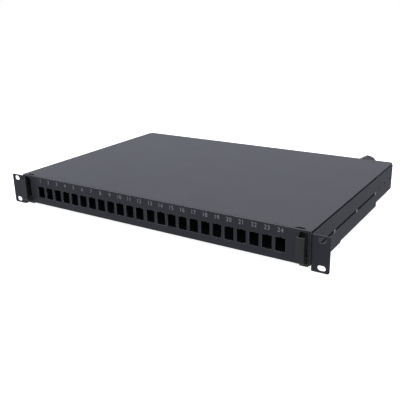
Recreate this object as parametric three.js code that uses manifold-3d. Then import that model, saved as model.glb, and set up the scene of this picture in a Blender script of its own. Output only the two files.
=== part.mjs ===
// Rack-mount fibre termination panel, one rack unit high: a sheet-steel casing with a sliding drawer,
// a front panel with a row of adapter ports, two pull latches and two rack ears that slide along the sides.
// Millimetres, +X to the right as seen from the front, +Y to the rear, +Z up.
// Pieces are drawn with the front plane of the rack ears at y = 0 and the lower edge of the ears at z = 0.
import * as THREE from "three";
import { mergeVertices } from "three/addons/utils/BufferGeometryUtils.js";
import Module from "manifold-3d";

const wasm = await Module();
wasm.setup();

// ---------------------------------------------------------------- driving dimensions

const FIT = {
  seat: 0.3, // between two pieces that are fastened to each other
  run: 0.4, // between two pieces that move past each other
  hole: 0.3, // round a screw or rivet in its hole, on the radius
  pivot: 0.12, // round a pivot pin, on the radius
};
const SHEET = 1.2; // casing, cover, tray and slides

const CASING = {
  width: 440,
  rearY: 303,
  bottomZ: 4,
  height: 40.4,
  sideHoles: { count: 3, pitch: 25, radius: 1.5, fromRear: 11.5, z: 23.5 },
};
const COVER = {
  seam: 0.9, // between the flanges of the cover and the side walls
  shadowGap: 1.5, // between the overhanging edge of the cover and the top of each side wall
  flangeHeight: 6,
  rearFlangeHeight: 10,
  rearFlangeWidth: 300,
  archWidth: 10, // shallow arch in the front edge above each latch
  archDepth: 4,
  cornerRelief: 2.4,
};
const COVER_SCREW = {
  count: 3,
  pitch: 130,
  drop: 5, // from the top of the cover to the screw axis
  shank: 1.5,
  head: 2.9,
  headHeight: 2,
  length: 5.8,
};
const PANEL = {
  setback: 0.4, // behind the front plane of the ears
  thickness: 2,
  endInset: 0.3,
  bottomGap: 0.4,
  footDepth: 11.6,
  footWidth: 400,
};
const PORT = {
  count: 24,
  pitch: 16,
  middleGap: 1.2, // extra room between the two middle ports
  width: 12.5,
  height: 16.4,
  centreZ: 22.1,
  notchWidth: 2.2,
  notchDepth: 1,
};
const EAR = {
  thickness: 1.8,
  bendRadius: 0.6, // inside the bend
  flange: 19.2, // from the outer face of the leg to the edge of the ear
  height: 42,
  cornerRadius: 2,
  holeWidth: 9.6,
  holeHeight: 6.4,
  holeInset: 8.75, // from the outer edge to the hole centre
  holePitch: 31.75,
  legLength: 224,
  stepY: 86, // behind this the lower edge of the leg is raised
  stepHeight: 2.1,
  slotHeight: 2.8,
  slotZ: 22.9,
  slotWeb: 4.5, // between two slots
  wallSlotHeight: 5, // of the slots in the side of the casing behind them
  wallSlotWeb: 3, // from the middle of each screw to those
  travel: 56,
};
const EAR_SCREW = { count: 3, firstY: 63, pitch: 76, shank: 1.1, head: 2, headHeight: 0.9 };
const TRAY = {
  width: 410,
  rearRoom: 53, // behind the tray, for the slack of the incoming cable
  floorLift: 1, // above the casing floor
  sideHeight: 28,
  rearLip: 9,
  sideFrontY: 12,
};
const SLIDE = { height: 22, bottomZ: 12, frontY: 14, rearMargin: 18 };
const LATCH = {
  width: 10,
  inset: 9, // from the side of the casing to the middle of the latch
  thickness: 1.6,
  frontY: -8.2,
  topZ: 38.5,
  curveRadius: 3.8,
  armZ: 7.2, // underside of the arm that passes through the panel
  armHeight: 2.1,
  tabFrontY: 3.4,
  tabThickness: 2.6,
  tabZ: 1.2,
  pivotY: 5.7,
  pivotZ: 9.5,
  bossRadius: 2.4,
  pinRadius: 1.25,
};
const LATCH_POCKET = {
  sideGap: 0.8, // beside the latch
  wall: 0.9,
  rearY: 10.5,
  openingBottomZ: 5.8,
  openingTopZ: 42,
  cornerRadius: 4,
  topGap: 0.5, // under the cover
  notchRearY: 9.6,
};
const ENTRY = { x: 174.5, z: 28.4, threadRadius: 10 };
const GLAND = {
  shoulder: 3.5, // the flats of the collar and of the dome nut stand this far outside the thread
  lockNutWall: 3.5,
  bodyWall: 4, // between the thread and the bore
  threadLength: 12,
  collar: 5,
  lockNutHeight: 5.5,
  stubInset: 1.2, // from the thread in to the plain stub that the dome nut runs on
  stubLength: 17,
  nutHexLength: 22,
  nutDomeLength: 12,
  mouthOver: 0.6, // mouth of the dome nut, outside the bore
  lipWall: 1.6,
  sealBore: 4.5,
  sealLength: 12,
};
const PLUG = { headOver: 2.5, headHeight: 6, stubLength: 10 };
const RIVET = { count: 4, pitch: 110, shank: 1.3, head: 2.5, headHeight: 1, fromPanel: 6.5 };
const SPLICE = {
  width: 160,
  depth: 104,
  height: 8.5,
  wall: 1.4,
  cornerRadius: 18,
  fromTrayRear: 30,
  studRadius: 2,
  studBaseRadius: 5,
  nutRadius: 8,
  nutHeight: 6,
  combWidth: 66,
  combDepth: 34,
  combHeight: 5.4,
  combRibs: 7,
  combOffset: 28,
};
const GUIDE = { width: 24, height: 22, depth: 8, wall: 2, slit: 3, x: 140, fromSplice: 14 };
const CLAMP = { width: 36, depth: 14, baseHeight: 5, strap: 1.5, archRadius: 6.5, fromTrayRear: 16 };
const CLAMP_SCREW = { pitch: 26, shank: 1.3, head: 2.6, headHeight: 1.8 };

// ---------------------------------------------------------------- derived places

const halfCasing = CASING.width / 2;
const casingTopZ = CASING.bottomZ + CASING.height;
const casingFloorZ = CASING.bottomZ + SHEET;
const wallInnerX = halfCasing - SHEET;
const panelBackY = PANEL.setback + PANEL.thickness;
const casingFrontY = panelBackY + FIT.run;
const rearInnerY = CASING.rearY - SHEET;
const coverFlangeX = wallInnerX - COVER.seam;
const coverRearY = rearInnerY - FIT.seat;
const coverUnderZ = casingTopZ - SHEET;
const coverScrewZ = casingTopZ - COVER_SCREW.drop;

const legInnerX = halfCasing + FIT.seat;
const legOuterX = legInnerX + EAR.thickness;
const earOuterX = legOuterX + EAR.flange;
const bendOuterRadius = EAR.bendRadius + EAR.thickness;

const latchX = halfCasing - LATCH.inset;
const pocketHalfWidth = LATCH.width / 2 + LATCH_POCKET.sideGap;
const pocketOuterHalfWidth = pocketHalfWidth + LATCH_POCKET.wall;

const trayFloorZ = casingFloorZ + TRAY.floorLift;
const traySeatZ = trayFloorZ + SHEET;
const seatedZ = traySeatZ + FIT.seat;
const trayRearY = rearInnerY - TRAY.rearRoom;
const traySideX = TRAY.width / 2;

const spliceRearY = trayRearY - SPLICE.fromTrayRear;
const spliceCentreY = spliceRearY - SPLICE.depth / 2;
const glandCollarY = CASING.rearY + FIT.seat;
const glandNutY = glandCollarY + GLAND.collar + FIT.run;
const glandEndY = glandNutY + GLAND.nutHexLength + GLAND.nutDomeLength;
const glandFlats = 2 * (ENTRY.threadRadius + GLAND.shoulder);
const lockNutFlats = 2 * (ENTRY.threadRadius + GLAND.lockNutWall);
const glandBoreRadius = ENTRY.threadRadius - GLAND.bodyWall;
const stubRadius = ENTRY.threadRadius - GLAND.stubInset;
const nutMouthRadius = glandBoreRadius + GLAND.mouthOver;
const nutTipRadius = nutMouthRadius + GLAND.lipWall;
const sealRadius = stubRadius - FIT.run;

// ---------------------------------------------------------------- finishes

function finish(color, roughness, metalness) {
  return new THREE.MeshStandardMaterial({ color, roughness, metalness });
}
const powderCoat = finish(0x3a3b3e, 0.55, 0.2);
const zincSteel = finish(0xb4b7ba, 0.35, 0.9);
const latchPlastic = finish(0x4a4a49, 0.5, 0);
const nylon = finish(0x1d1d1f, 0.45, 0);
const rubber = finish(0x131313, 0.8, 0);
const trayPlastic = finish(0xd8d9d6, 0.5, 0);
const clearLid = finish(0xc9d3d8, 0.15, 0);

// ---------------------------------------------------------------- solids from three.js geometry

const GRID = 1e-3; // every vertex sits on this grid, so that faces meant to be in one plane are

function solidOf(geometry) {
  const bare = geometry.clone();
  bare.deleteAttribute("normal");
  bare.deleteAttribute("uv");
  const places = bare.attributes.position.array;
  places.forEach((value, i) => (places[i] = Math.round(value / GRID) * GRID));
  const merged = mergeVertices(bare, GRID / 10);
  const corners = merged.index.array;
  const kept = [];
  for (let i = 0; i < corners.length; i += 3) {
    const [a, b, c] = [corners[i], corners[i + 1], corners[i + 2]];
    if (a !== b && b !== c && c !== a) kept.push(a, b, c);
  }
  return new wasm.Manifold(
    new wasm.Mesh({
      numProp: 3,
      vertProperties: merged.attributes.position.array,
      triVerts: new Uint32Array(kept),
    }),
  );
}

function meshOf(name, solid, material) {
  const { vertProperties, triVerts } = solid.getMesh();
  const geometry = new THREE.BufferGeometry();
  geometry.setAttribute("position", new THREE.BufferAttribute(new Float32Array(vertProperties), 3));
  geometry.setIndex(new THREE.BufferAttribute(new Uint32Array(triVerts), 1));
  geometry.computeVertexNormals();
  const mesh = new THREE.Mesh(geometry, material);
  mesh.name = name;
  return mesh;
}

function union(solids) {
  return solids.reduce((whole, piece) => whole.add(piece));
}

function cut(solid, tools) {
  return tools.reduce((rest, tool) => rest.subtract(tool), solid);
}

function box([x0, x1], [y0, y1], [z0, z1]) {
  const geometry = new THREE.BoxGeometry(x1 - x0, y1 - y0, z1 - z0);
  geometry.translate((x0 + x1) / 2, (y0 + y1) / 2, (z0 + z1) / 2);
  return solidOf(geometry);
}

const X = new THREE.Vector3(1, 0, 0);
const Y = new THREE.Vector3(0, 1, 0);
const Z = new THREE.Vector3(0, 0, 1);

// A flat outline extruded along one axis. The outline is drawn in (y, z) for axis x, in (x, z) for
// axis y and in (x, y) for axis z.
function plate(outline, axis, [from, to], curveSegments = 5) {
  const options = { depth: to - from, bevelEnabled: false, curveSegments };
  const geometry = new THREE.ExtrudeGeometry(outline, options);
  const turn = new THREE.Matrix4();
  if (axis === "x") turn.makeBasis(Y, Z, X).setPosition(from, 0, 0);
  if (axis === "y") turn.makeBasis(X, Z, Y.clone().negate()).setPosition(0, to, 0);
  if (axis === "z") turn.setPosition(0, 0, from);
  return solidOf(geometry.applyMatrix4(turn));
}

// A round bar along one axis. The centre is (y, z), (x, z) or (x, y), as in plate.
function rod(axis, radius, span, [u, v], sides = 20) {
  const circle = new THREE.Shape().absarc(u, v, radius, 0, 2 * Math.PI, false);
  return plate(circle, axis, span, sides);
}

// A turned piece on an axis along +Y through (x, z). The profile is a list of [radius, y].
function turned(profile, [x, z], sides = 32) {
  const points = profile.map(([radius, y]) => new THREE.Vector2(radius, y));
  const geometry = new THREE.LatheGeometry([...points, points[0].clone()], sides);
  geometry.translate(x, 0, z);
  return solidOf(geometry);
}

// Hexagon bar along Y, with one corner at the top unless it lies on a flat.
function hexBar(flats, span, [x, z], flatDown = false) {
  const corner = flats / Math.sqrt(3);
  const outline = new THREE.Shape();
  for (let i = 0; i < 6; i++) {
    const angle = ((i + (flatDown ? 0 : 0.5)) * Math.PI) / 3;
    const point = [x + corner * Math.cos(angle), z + corner * Math.sin(angle)];
    if (i === 0) outline.moveTo(...point);
    else outline.lineTo(...point);
  }
  return plate(outline, "y", span);
}

function obround(u, v, length, height) {
  const r = height / 2;
  const half = length / 2 - r;
  const outline = new THREE.Shape();
  outline.absarc(u + half, v, r, -Math.PI / 2, Math.PI / 2, false);
  outline.absarc(u - half, v, r, Math.PI / 2, (3 * Math.PI) / 2, false);
  return outline;
}

function roundedRectangle([u0, u1], [v0, v1], radius) {
  const outline = new THREE.Shape();
  outline.absarc(u1 - radius, v1 - radius, radius, 0, Math.PI / 2, false);
  outline.absarc(u0 + radius, v1 - radius, radius, Math.PI / 2, Math.PI, false);
  outline.absarc(u0 + radius, v0 + radius, radius, Math.PI, 1.5 * Math.PI, false);
  outline.absarc(u1 - radius, v0 + radius, radius, 1.5 * Math.PI, 2 * Math.PI, false);
  return outline;
}

function polygon(points) {
  return new THREE.Shape(points.map(([u, v]) => new THREE.Vector2(u, v)));
}

// Places of a row of equal steps, centred on zero.
function row(count, pitch) {
  return Array.from({ length: count }, (_, i) => (i - (count - 1) / 2) * pitch);
}

const through = 4; // how far a cutting tool runs past the wall that it cuts

// ---------------------------------------------------------------- casing

function earScrewY(i) {
  return EAR_SCREW.firstY + i * EAR_SCREW.pitch;
}

// Floor of the casing, notched at the front for the arms and tabs of the latches.
function casingFloor() {
  const half = wallInnerX - FIT.seat;
  const sheet = box(
    [-half, half],
    [casingFrontY, rearInnerY - FIT.seat],
    [CASING.bottomZ, casingFloorZ],
  );
  const notches = [-latchX, latchX].map((x) =>
    box(
      [x - pocketHalfWidth, x + pocketHalfWidth],
      [casingFrontY - through, LATCH_POCKET.notchRearY],
      [CASING.bottomZ - through, casingFloorZ + through],
    ),
  );
  return meshOf("casing_floor", cut(sheet, notches), powderCoat);
}

function sidePanel(name) {
  const sheet = box(
    [wallInnerX, halfCasing],
    [casingFrontY, CASING.rearY],
    [CASING.bottomZ, coverUnderZ - COVER.shadowGap],
  );
  const wall = [wallInnerX - through, halfCasing + through];
  const { count, pitch, radius, fromRear, z } = CASING.sideHoles;
  const holes = [];
  for (let i = 0; i < EAR_SCREW.count; i++) {
    holes.push(rod("x", EAR_SCREW.shank + FIT.hole, wall, [earScrewY(i), EAR.slotZ], 4));
    const slot = [earSlotFrontY(i), earScrewY(i) - EAR.wallSlotWeb];
    holes.push(legSlot(slot, EAR.wallSlotHeight, [wallInnerX, halfCasing]));
  }
  for (let i = 0; i < count; i++)
    holes.push(rod("x", radius, wall, [CASING.rearY - fromRear - i * pitch, z], 4));
  return meshOf(name, cut(sheet, holes), powderCoat);
}

const rearWallSpan = [CASING.rearY - through, CASING.rearY + through];

function coverScrewHoles() {
  return row(COVER_SCREW.count, COVER_SCREW.pitch).map((x) =>
    rod("y", COVER_SCREW.shank + FIT.hole, rearWallSpan, [x, coverScrewZ], 4),
  );
}

function rearPanel() {
  const half = wallInnerX - FIT.seat;
  const sheet = box([-half, half], [rearInnerY, CASING.rearY], [CASING.bottomZ, casingTopZ]);
  const entries = [-ENTRY.x, ENTRY.x].map((x) =>
    rod("y", ENTRY.threadRadius + FIT.hole, rearWallSpan, [x, ENTRY.z], 8),
  );
  return meshOf("rear_panel", cut(sheet, [...entries, ...coverScrewHoles()]), powderCoat);
}

// Flat top of the cover: an arch in its front edge above each latch, and a relief at each rear corner.
function topCover() {
  const halfArch = COVER.archWidth / 2;
  const archRadius = (halfArch ** 2 + COVER.archDepth ** 2) / (2 * COVER.archDepth);
  const archY = casingFrontY + COVER.archDepth - archRadius;
  const span = [coverUnderZ - through, casingTopZ + through];
  const sheet = box(
    [-halfCasing, halfCasing],
    [casingFrontY, coverRearY],
    [coverUnderZ, casingTopZ],
  );
  const relief = COVER.cornerRelief;
  const rear = [coverRearY - relief, coverRearY + relief];
  const tools = [-1, 1].flatMap((side) => {
    const corner = side * halfCasing;
    return [
      rod("z", archRadius, span, [side * latchX, archY], 12),
      box([corner - relief, corner + relief], rear, span),
    ];
  });
  return meshOf("top_cover", cut(sheet, tools), powderCoat);
}

// The flanges of the cover are drawn as sheets of their own, just under the flat top.
function coverSideFlange(name) {
  const solid = box(
    [coverFlangeX - SHEET, coverFlangeX],
    [LATCH_POCKET.rearY + SHEET, coverRearY - 2 * COVER.cornerRelief],
    [coverUnderZ - COVER.flangeHeight, coverUnderZ - FIT.seat],
  );
  return meshOf(name, solid, powderCoat);
}

function coverRearFlange() {
  const half = COVER.rearFlangeWidth / 2;
  const sheet = box(
    [-half, half],
    [coverRearY - SHEET, coverRearY],
    [casingTopZ - COVER.rearFlangeHeight, coverUnderZ - FIT.seat],
  );
  return meshOf("cover_flange_rear", cut(sheet, coverScrewHoles()), powderCoat);
}

// Pan-head screw along -Y through the rear wall into the rear flange of the cover.
function coverScrew(number, x) {
  const { shank, head, headHeight, length } = COVER_SCREW;
  const headY = CASING.rearY + FIT.seat;
  const profile = [
    [0, headY - length],
    [shank, headY - length],
    [shank, headY],
    [head, headY],
    [head - 0.2, headY + 0.55 * headHeight],
    [0.6 * head, headY + 0.9 * headHeight],
    [0, headY + headHeight],
  ];
  return meshOf("cover_screw_" + number, turned(profile, [x, coverScrewZ], 16), zincSteel);
}

// Section of a channel of sheet, drawn in (x, z): its web is at webX and its two flanges reach edgeX.
function channel(webX, edgeX, [bottom, top]) {
  const innerX = webX + Math.sign(edgeX - webX) * SHEET;
  return polygon([
    [webX, bottom],
    [edgeX, bottom],
    [edgeX, bottom + SHEET],
    [innerX, bottom + SHEET],
    [innerX, top - SHEET],
    [edgeX, top - SHEET],
    [edgeX, top],
    [webX, top],
  ]);
}

// C-shaped outer member of a drawer slide, open towards the drawer.
function outerSlide(name) {
  const [top, bottom] = [SLIDE.bottomZ + SLIDE.height, SLIDE.bottomZ];
  const webOuterX = wallInnerX - FIT.seat;
  const lipX = traySideX + FIT.seat + SHEET + 3;
  const section = channel(webOuterX, lipX, [bottom, top]);
  const along = [SLIDE.frontY, rearInnerY - SLIDE.rearMargin];
  return meshOf(name, plate(section, "y", along), zincSteel);
}

// C-shaped inner member, fixed to the side of the tray and nested in the outer one.
function innerSlide(name) {
  const bottom = SLIDE.bottomZ + SHEET + FIT.run;
  const top = SLIDE.bottomZ + SLIDE.height - SHEET - FIT.run;
  const webX = traySideX + FIT.seat;
  const edgeX = wallInnerX - FIT.seat - SHEET - FIT.run;
  const section = channel(webX, edgeX, [bottom, top]);
  return meshOf(name, plate(section, "y", [SLIDE.frontY, trayRearY]), zincSteel);
}

// ---------------------------------------------------------------- rack ears

// What is cut away to round an outer corner of the ear, drawn in (x, z).
function cornerWaste(cornerX, cornerZ, upper) {
  const r = EAR.cornerRadius;
  const up = upper ? 1 : -1;
  const arc = new THREE.Path().absarc(0, 0, r, 0, Math.PI / 2, false).getPoints(5);
  return polygon([
    [cornerX + 1, cornerZ - up * r],
    ...arc.map((p) => [cornerX - r + p.x, cornerZ - up * (r - p.y)]),
    [cornerX - r, cornerZ + up],
    [cornerX + 1, cornerZ + up],
  ]);
}

// Front end of a slot in the leg of the ear. The first one is as long as the travel asks, and the
// others fill the room between two screws.
function earSlotFrontY(i) {
  const half = EAR.slotHeight / 2;
  if (i === 0) return earScrewY(0) - EAR.travel - half;
  return earScrewY(i - 1) + half + EAR.slotWeb;
}

function legSlot([frontY, rearY], height, [innerX, outerX]) {
  return plate(
    obround((frontY + rearY) / 2, EAR.slotZ, rearY - frontY, height),
    "x",
    [innerX - through, outerX + through],
  );
}

function rackEar(name) {
  const bendX = legInnerX + bendOuterRadius;
  const angle = new THREE.Shape();
  angle.moveTo(legInnerX, EAR.legLength);
  angle.absarc(bendX, bendOuterRadius, bendOuterRadius, Math.PI, 1.5 * Math.PI, false);
  angle.lineTo(earOuterX, 0);
  angle.lineTo(earOuterX, EAR.thickness);
  angle.absarc(bendX, bendOuterRadius, EAR.bendRadius, 1.5 * Math.PI, Math.PI, true);
  angle.lineTo(legOuterX, EAR.legLength);
  const bracket = plate(angle, "z", [0, EAR.height]);

  const acrossFace = [-through, EAR.thickness + through];
  const holeX = earOuterX - EAR.holeInset;
  const tools = row(2, EAR.holePitch).map((dz) =>
    plate(
      obround(holeX, EAR.height / 2 + dz, EAR.holeWidth, EAR.holeHeight),
      "y",
      acrossFace,
    ),
  );
  for (const upper of [false, true])
    tools.push(plate(cornerWaste(earOuterX, upper ? EAR.height : 0, upper), "y", acrossFace));
  const step = polygon([
    [EAR.stepY, -1],
    [EAR.stepY, 0],
    [EAR.stepY + EAR.stepHeight, EAR.stepHeight],
    [EAR.legLength + 1, EAR.stepHeight],
    [EAR.legLength + 1, -1],
  ]);
  tools.push(plate(step, "x", [legInnerX - through, legOuterX + through]));
  for (let i = 0; i < EAR_SCREW.count; i++) {
    const rearY = earScrewY(i) + EAR.slotHeight / 2;
    tools.push(legSlot([earSlotFrontY(i), rearY], EAR.slotHeight, [legInnerX, legOuterX]));
  }
  return meshOf(name, cut(bracket, tools), powderCoat);
}

// Screw that holds the leg of the ear to the side of the casing, at the rear end of its slot.
function earScrew(name, i) {
  const centre = [earScrewY(i), EAR.slotZ];
  const headX = legOuterX + FIT.seat;
  const solid = union([
    rod("x", EAR_SCREW.shank, [wallInnerX, headX + EAR_SCREW.headHeight / 2], centre, 6),
    rod("x", EAR_SCREW.head, [headX, headX + EAR_SCREW.headHeight], centre, 8),
  ]);
  return meshOf(name, solid, zincSteel);
}

// ---------------------------------------------------------------- cable entries

function glandPieces() {
  const centre = [ENTRY.x, ENTRY.z];
  const collarEnd = glandCollarY + GLAND.collar;
  const threadFront = glandCollarY - GLAND.threadLength;
  const bodyOutside = union([
    hexBar(glandFlats, [glandCollarY, collarEnd], centre),
    rod("y", ENTRY.threadRadius, [threadFront, collarEnd - 1], centre, 16),
    rod("y", stubRadius, [collarEnd - 1, collarEnd + GLAND.stubLength], centre, 16),
  ]);
  const bore = rod("y", glandBoreRadius, [threadFront - through, glandEndY], centre, 12);

  const lockNutRear = rearInnerY - FIT.seat;
  const lockNutSpan = [lockNutRear - GLAND.lockNutHeight, lockNutRear];
  const lockNutHole = rod(
    "y",
    ENTRY.threadRadius + FIT.hole,
    [lockNutSpan[0] - through, lockNutSpan[1] + through],
    centre,
    12,
  );

  const hexEnd = glandNutY + GLAND.nutHexLength;
  const domeStart = glandFlats / 2;
  const dome = turned(
    [
      [nutMouthRadius, hexEnd - 1],
      [domeStart, hexEnd - 1],
      [domeStart, hexEnd + 1],
      [domeStart - 0.7, hexEnd + 0.38 * GLAND.nutDomeLength],
      [domeStart - 2, hexEnd + 0.7 * GLAND.nutDomeLength],
      [nutTipRadius, glandEndY],
      [nutMouthRadius, glandEndY],
    ],
    centre,
  );
  const nutCavityRadius = stubRadius + FIT.run;
  const nutCavityEnd = collarEnd + GLAND.stubLength + FIT.run + GLAND.sealLength * 0.5;
  const nutCavity = turned(
    [
      [0, glandNutY - 1],
      [nutCavityRadius, glandNutY - 1],
      [nutCavityRadius, nutCavityEnd],
      [nutMouthRadius, nutCavityEnd + 6],
      [nutMouthRadius, glandEndY + 1],
      [0, glandEndY + 1],
    ],
    centre,
  );
  const nut = cut(union([hexBar(glandFlats, [glandNutY, hexEnd], centre), dome]), [nutCavity]);

  const sealFront = collarEnd + GLAND.stubLength + FIT.seat;
  const sealRear = sealFront + GLAND.sealLength;
  const seal = turned(
    [
      [GLAND.sealBore, sealFront],
      [sealRadius, sealFront],
      [sealRadius, sealFront + GLAND.sealLength * 0.45],
      [nutMouthRadius - 2 * FIT.seat, sealRear],
      [GLAND.sealBore, sealRear],
    ],
    centre,
    24,
  );
  return [
    meshOf("gland_body", bodyOutside.subtract(bore), nylon),
    meshOf(
      "gland_lock_nut",
      hexBar(lockNutFlats, lockNutSpan, centre, true).subtract(lockNutHole),
      nylon,
    ),
    meshOf("gland_dome_nut", nut, nylon),
    meshOf("gland_seal", seal, rubber),
  ];
}

function entryPlugPieces() {
  const centre = [-ENTRY.x, ENTRY.z];
  const headRadius = ENTRY.threadRadius + PLUG.headOver;
  const headEnd = glandCollarY + PLUG.headHeight;
  const plug = turned(
    [
      [0, glandCollarY - PLUG.stubLength],
      [ENTRY.threadRadius, glandCollarY - PLUG.stubLength],
      [ENTRY.threadRadius, glandCollarY],
      [headRadius, glandCollarY],
      [headRadius, headEnd - 2],
      [headRadius - 2, headEnd],
      [0, headEnd],
    ],
    centre,
    24,
  );
  const nutRear = rearInnerY - FIT.seat;
  const span = [nutRear - GLAND.lockNutHeight, nutRear];
  const hole = rod(
    "y",
    ENTRY.threadRadius + FIT.hole,
    [span[0] - through, span[1] + through],
    centre,
    12,
  );
  return [
    meshOf("entry_plug", plug, nylon),
    meshOf("entry_plug_nut", hexBar(lockNutFlats, span, centre, true).subtract(hole), nylon),
  ];
}

// ---------------------------------------------------------------- drawer

function portOutline(x) {
  const { width, height, centreZ, notchWidth, notchDepth } = PORT;
  const [w, h, n] = [width / 2, height / 2, notchWidth / 2];
  const right = [
    [n, -h - notchDepth],
    [n, -h],
    [w, -h],
    [w, h],
    [n, h],
    [n, h + notchDepth],
  ];
  const left = right.map(([dx, dz]) => [-dx, dz]).reverse();
  return polygon([...right, ...left].map(([dx, dz]) => [x + dx, centreZ + dz]));
}

function portX(i) {
  const step = i - (PORT.count - 1) / 2;
  return step * PORT.pitch + (Math.sign(step) * PORT.middleGap) / 2;
}

// Opening behind the finger pull of the right latch, with its upper inner corner rounded.
function fingerOpening() {
  const [left, right] = [latchX - pocketHalfWidth, latchX + pocketHalfWidth];
  const { openingBottomZ, openingTopZ, cornerRadius } = LATCH_POCKET;
  const outline = new THREE.Shape();
  outline.moveTo(left, openingBottomZ);
  outline.lineTo(right, openingBottomZ);
  outline.lineTo(right, openingTopZ);
  outline.absarc(
    left + cornerRadius,
    openingTopZ - cornerRadius,
    cornerRadius,
    Math.PI / 2,
    Math.PI,
    false,
  );
  return outline;
}

function mirrored(outline) {
  return new THREE.Shape(outline.getPoints(8).map((p) => new THREE.Vector2(-p.x, p.y)));
}

function rivetPlaces() {
  return row(RIVET.count, RIVET.pitch);
}

function frontPanel() {
  const half = halfCasing - PANEL.endInset;
  const bottom = CASING.bottomZ + PANEL.bottomGap;
  const sheet = box([-half, half], [PANEL.setback, panelBackY], [bottom, casingTopZ]);
  const past = [PANEL.setback - through, panelBackY + through];
  const tools = [fingerOpening(), mirrored(fingerOpening())].map((hole) => plate(hole, "y", past));
  for (let i = 0; i < PORT.count; i++) tools.push(plate(portOutline(portX(i)), "y", past));
  return meshOf("front_panel", cut(sheet, tools), powderCoat);
}

// Foot of the front panel, a flat strip behind it that is riveted to the tray floor.
function panelFoot() {
  const half = PANEL.footWidth / 2;
  const strip = box(
    [-half, half],
    [panelBackY + FIT.seat, panelBackY + PANEL.footDepth],
    [seatedZ, seatedZ + SHEET],
  );
  const holes = rivetPlaces().map((x) =>
    rod(
      "z",
      RIVET.shank + FIT.hole,
      [seatedZ - 1, seatedZ + SHEET + 1],
      [x, panelBackY + RIVET.fromPanel],
      4,
    ),
  );
  return meshOf("panel_foot", cut(strip, holes), powderCoat);
}

function drawerTray() {
  const frontY = panelBackY + FIT.seat;
  const frontHalf = latchX - pocketOuterHalfWidth - FIT.seat;
  const sideTopZ = trayFloorZ + TRAY.sideHeight;
  const innerX = traySideX - SHEET;
  const floor = polygon([
    [-frontHalf, frontY],
    [frontHalf, frontY],
    [frontHalf, TRAY.sideFrontY],
    [traySideX, TRAY.sideFrontY],
    [traySideX, trayRearY],
    [-traySideX, trayRearY],
    [-traySideX, TRAY.sideFrontY],
    [-frontHalf, TRAY.sideFrontY],
  ]);
  const shell = plate(floor, "z", [trayFloorZ, sideTopZ]);
  const aboveFloor = [traySeatZ, sideTopZ + through];
  const hollows = [
    box([-innerX, innerX], [TRAY.sideFrontY - 1, trayRearY - SHEET], aboveFloor),
    box([-traySideX, traySideX], [frontY - 1, TRAY.sideFrontY], aboveFloor),
    box(
      [-innerX, innerX],
      [trayRearY - 2 * SHEET, trayRearY + 1],
      [trayFloorZ + TRAY.rearLip, sideTopZ + through],
    ),
  ];
  const rivetHoles = rivetPlaces().map((x) =>
    rod(
      "z",
      RIVET.shank + FIT.hole,
      [trayFloorZ - 1, traySeatZ + 1],
      [x, panelBackY + RIVET.fromPanel],
      4,
    ),
  );
  return meshOf("drawer_tray", cut(shell, [...hollows, ...rivetHoles]), powderCoat);
}

// Rivet whose lower end is set flush in the tray floor, so that it clears the casing below.
function panelRivet(number, x) {
  const centre = [x, panelBackY + RIVET.fromPanel];
  const headZ = seatedZ + SHEET + FIT.seat;
  const solid = union([
    rod("z", RIVET.shank, [trayFloorZ, headZ + RIVET.headHeight / 2], centre, 5),
    rod("z", RIVET.head, [headZ, headZ + RIVET.headHeight], centre, 7),
  ]);
  return meshOf("panel_rivet_" + number, solid, zincSteel);
}

// Moulded pocket behind the panel that carries the latch pin; open to the front and below.
function latchPocket(name) {
  const outer = [latchX - pocketOuterHalfWidth, latchX + pocketOuterHalfWidth];
  const inner = [latchX - pocketHalfWidth, latchX + pocketHalfWidth];
  const frontY = panelBackY + FIT.seat;
  const bottomZ = casingFloorZ + FIT.run;
  const topZ = coverUnderZ - LATCH_POCKET.topGap;
  const { wall, rearY } = LATCH_POCKET;
  const shell = box(outer, [frontY, rearY], [bottomZ, topZ]);
  const hollow = box(inner, [frontY - 1, rearY - wall], [bottomZ - 1, topZ - wall]);
  const pinHole = rod(
    "x",
    LATCH.pinRadius + FIT.pivot,
    [outer[0] - 1, outer[1] + 1],
    [LATCH.pivotY, LATCH.pivotZ],
    6,
  );
  return meshOf(name, cut(shell, [hollow, pinHole]), nylon);
}

function latchPin(name) {
  const half = pocketOuterHalfWidth;
  const solid = rod(
    "x",
    LATCH.pinRadius,
    [latchX - half, latchX + half],
    [LATCH.pivotY, LATCH.pivotZ],
    6,
  );
  return meshOf(name, solid, zincSteel);
}

// J-shaped finger pull: a plate in front of the panel, an arm back through the foot of the opening
// and a boss on the pin, with a tab hanging below.
function latch(name) {
  const { thickness, curveRadius, armZ, armHeight, pivotY, pivotZ, bossRadius } = LATCH;
  const armTopZ = armZ + armHeight;
  const curveY = LATCH.frontY + curveRadius;
  const curveZ = armZ + curveRadius;
  const innerRadius = curveRadius - thickness;
  const tabRearY = LATCH.tabFrontY + LATCH.tabThickness;
  const tabMeetsBoss = -Math.acos((tabRearY - pivotY) / bossRadius);
  const outline = new THREE.Shape();
  outline.moveTo(LATCH.frontY, LATCH.topZ);
  outline.absarc(curveY, curveZ, curveRadius, Math.PI, 1.5 * Math.PI, false);
  outline.lineTo(LATCH.tabFrontY, armZ);
  outline.lineTo(LATCH.tabFrontY, LATCH.tabZ);
  outline.lineTo(tabRearY, LATCH.tabZ);
  outline.absarc(pivotY, pivotZ, bossRadius, tabMeetsBoss, Math.PI, false);
  outline.lineTo(pivotY - bossRadius, armTopZ);
  outline.lineTo(curveY, armTopZ);
  outline.absarc(curveY, armTopZ + innerRadius, innerRadius, 1.5 * Math.PI, Math.PI, true);
  outline.lineTo(LATCH.frontY + thickness, LATCH.topZ);
  const width = [latchX - LATCH.width / 2, latchX + LATCH.width / 2];
  const pinHole = rod(
    "x",
    LATCH.pinRadius + FIT.pivot,
    [width[0] - 1, width[1] + 1],
    [pivotY, pivotZ],
    6,
  );
  return meshOf(name, plate(outline, "x", width, 6).subtract(pinHole), latchPlastic);
}

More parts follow.
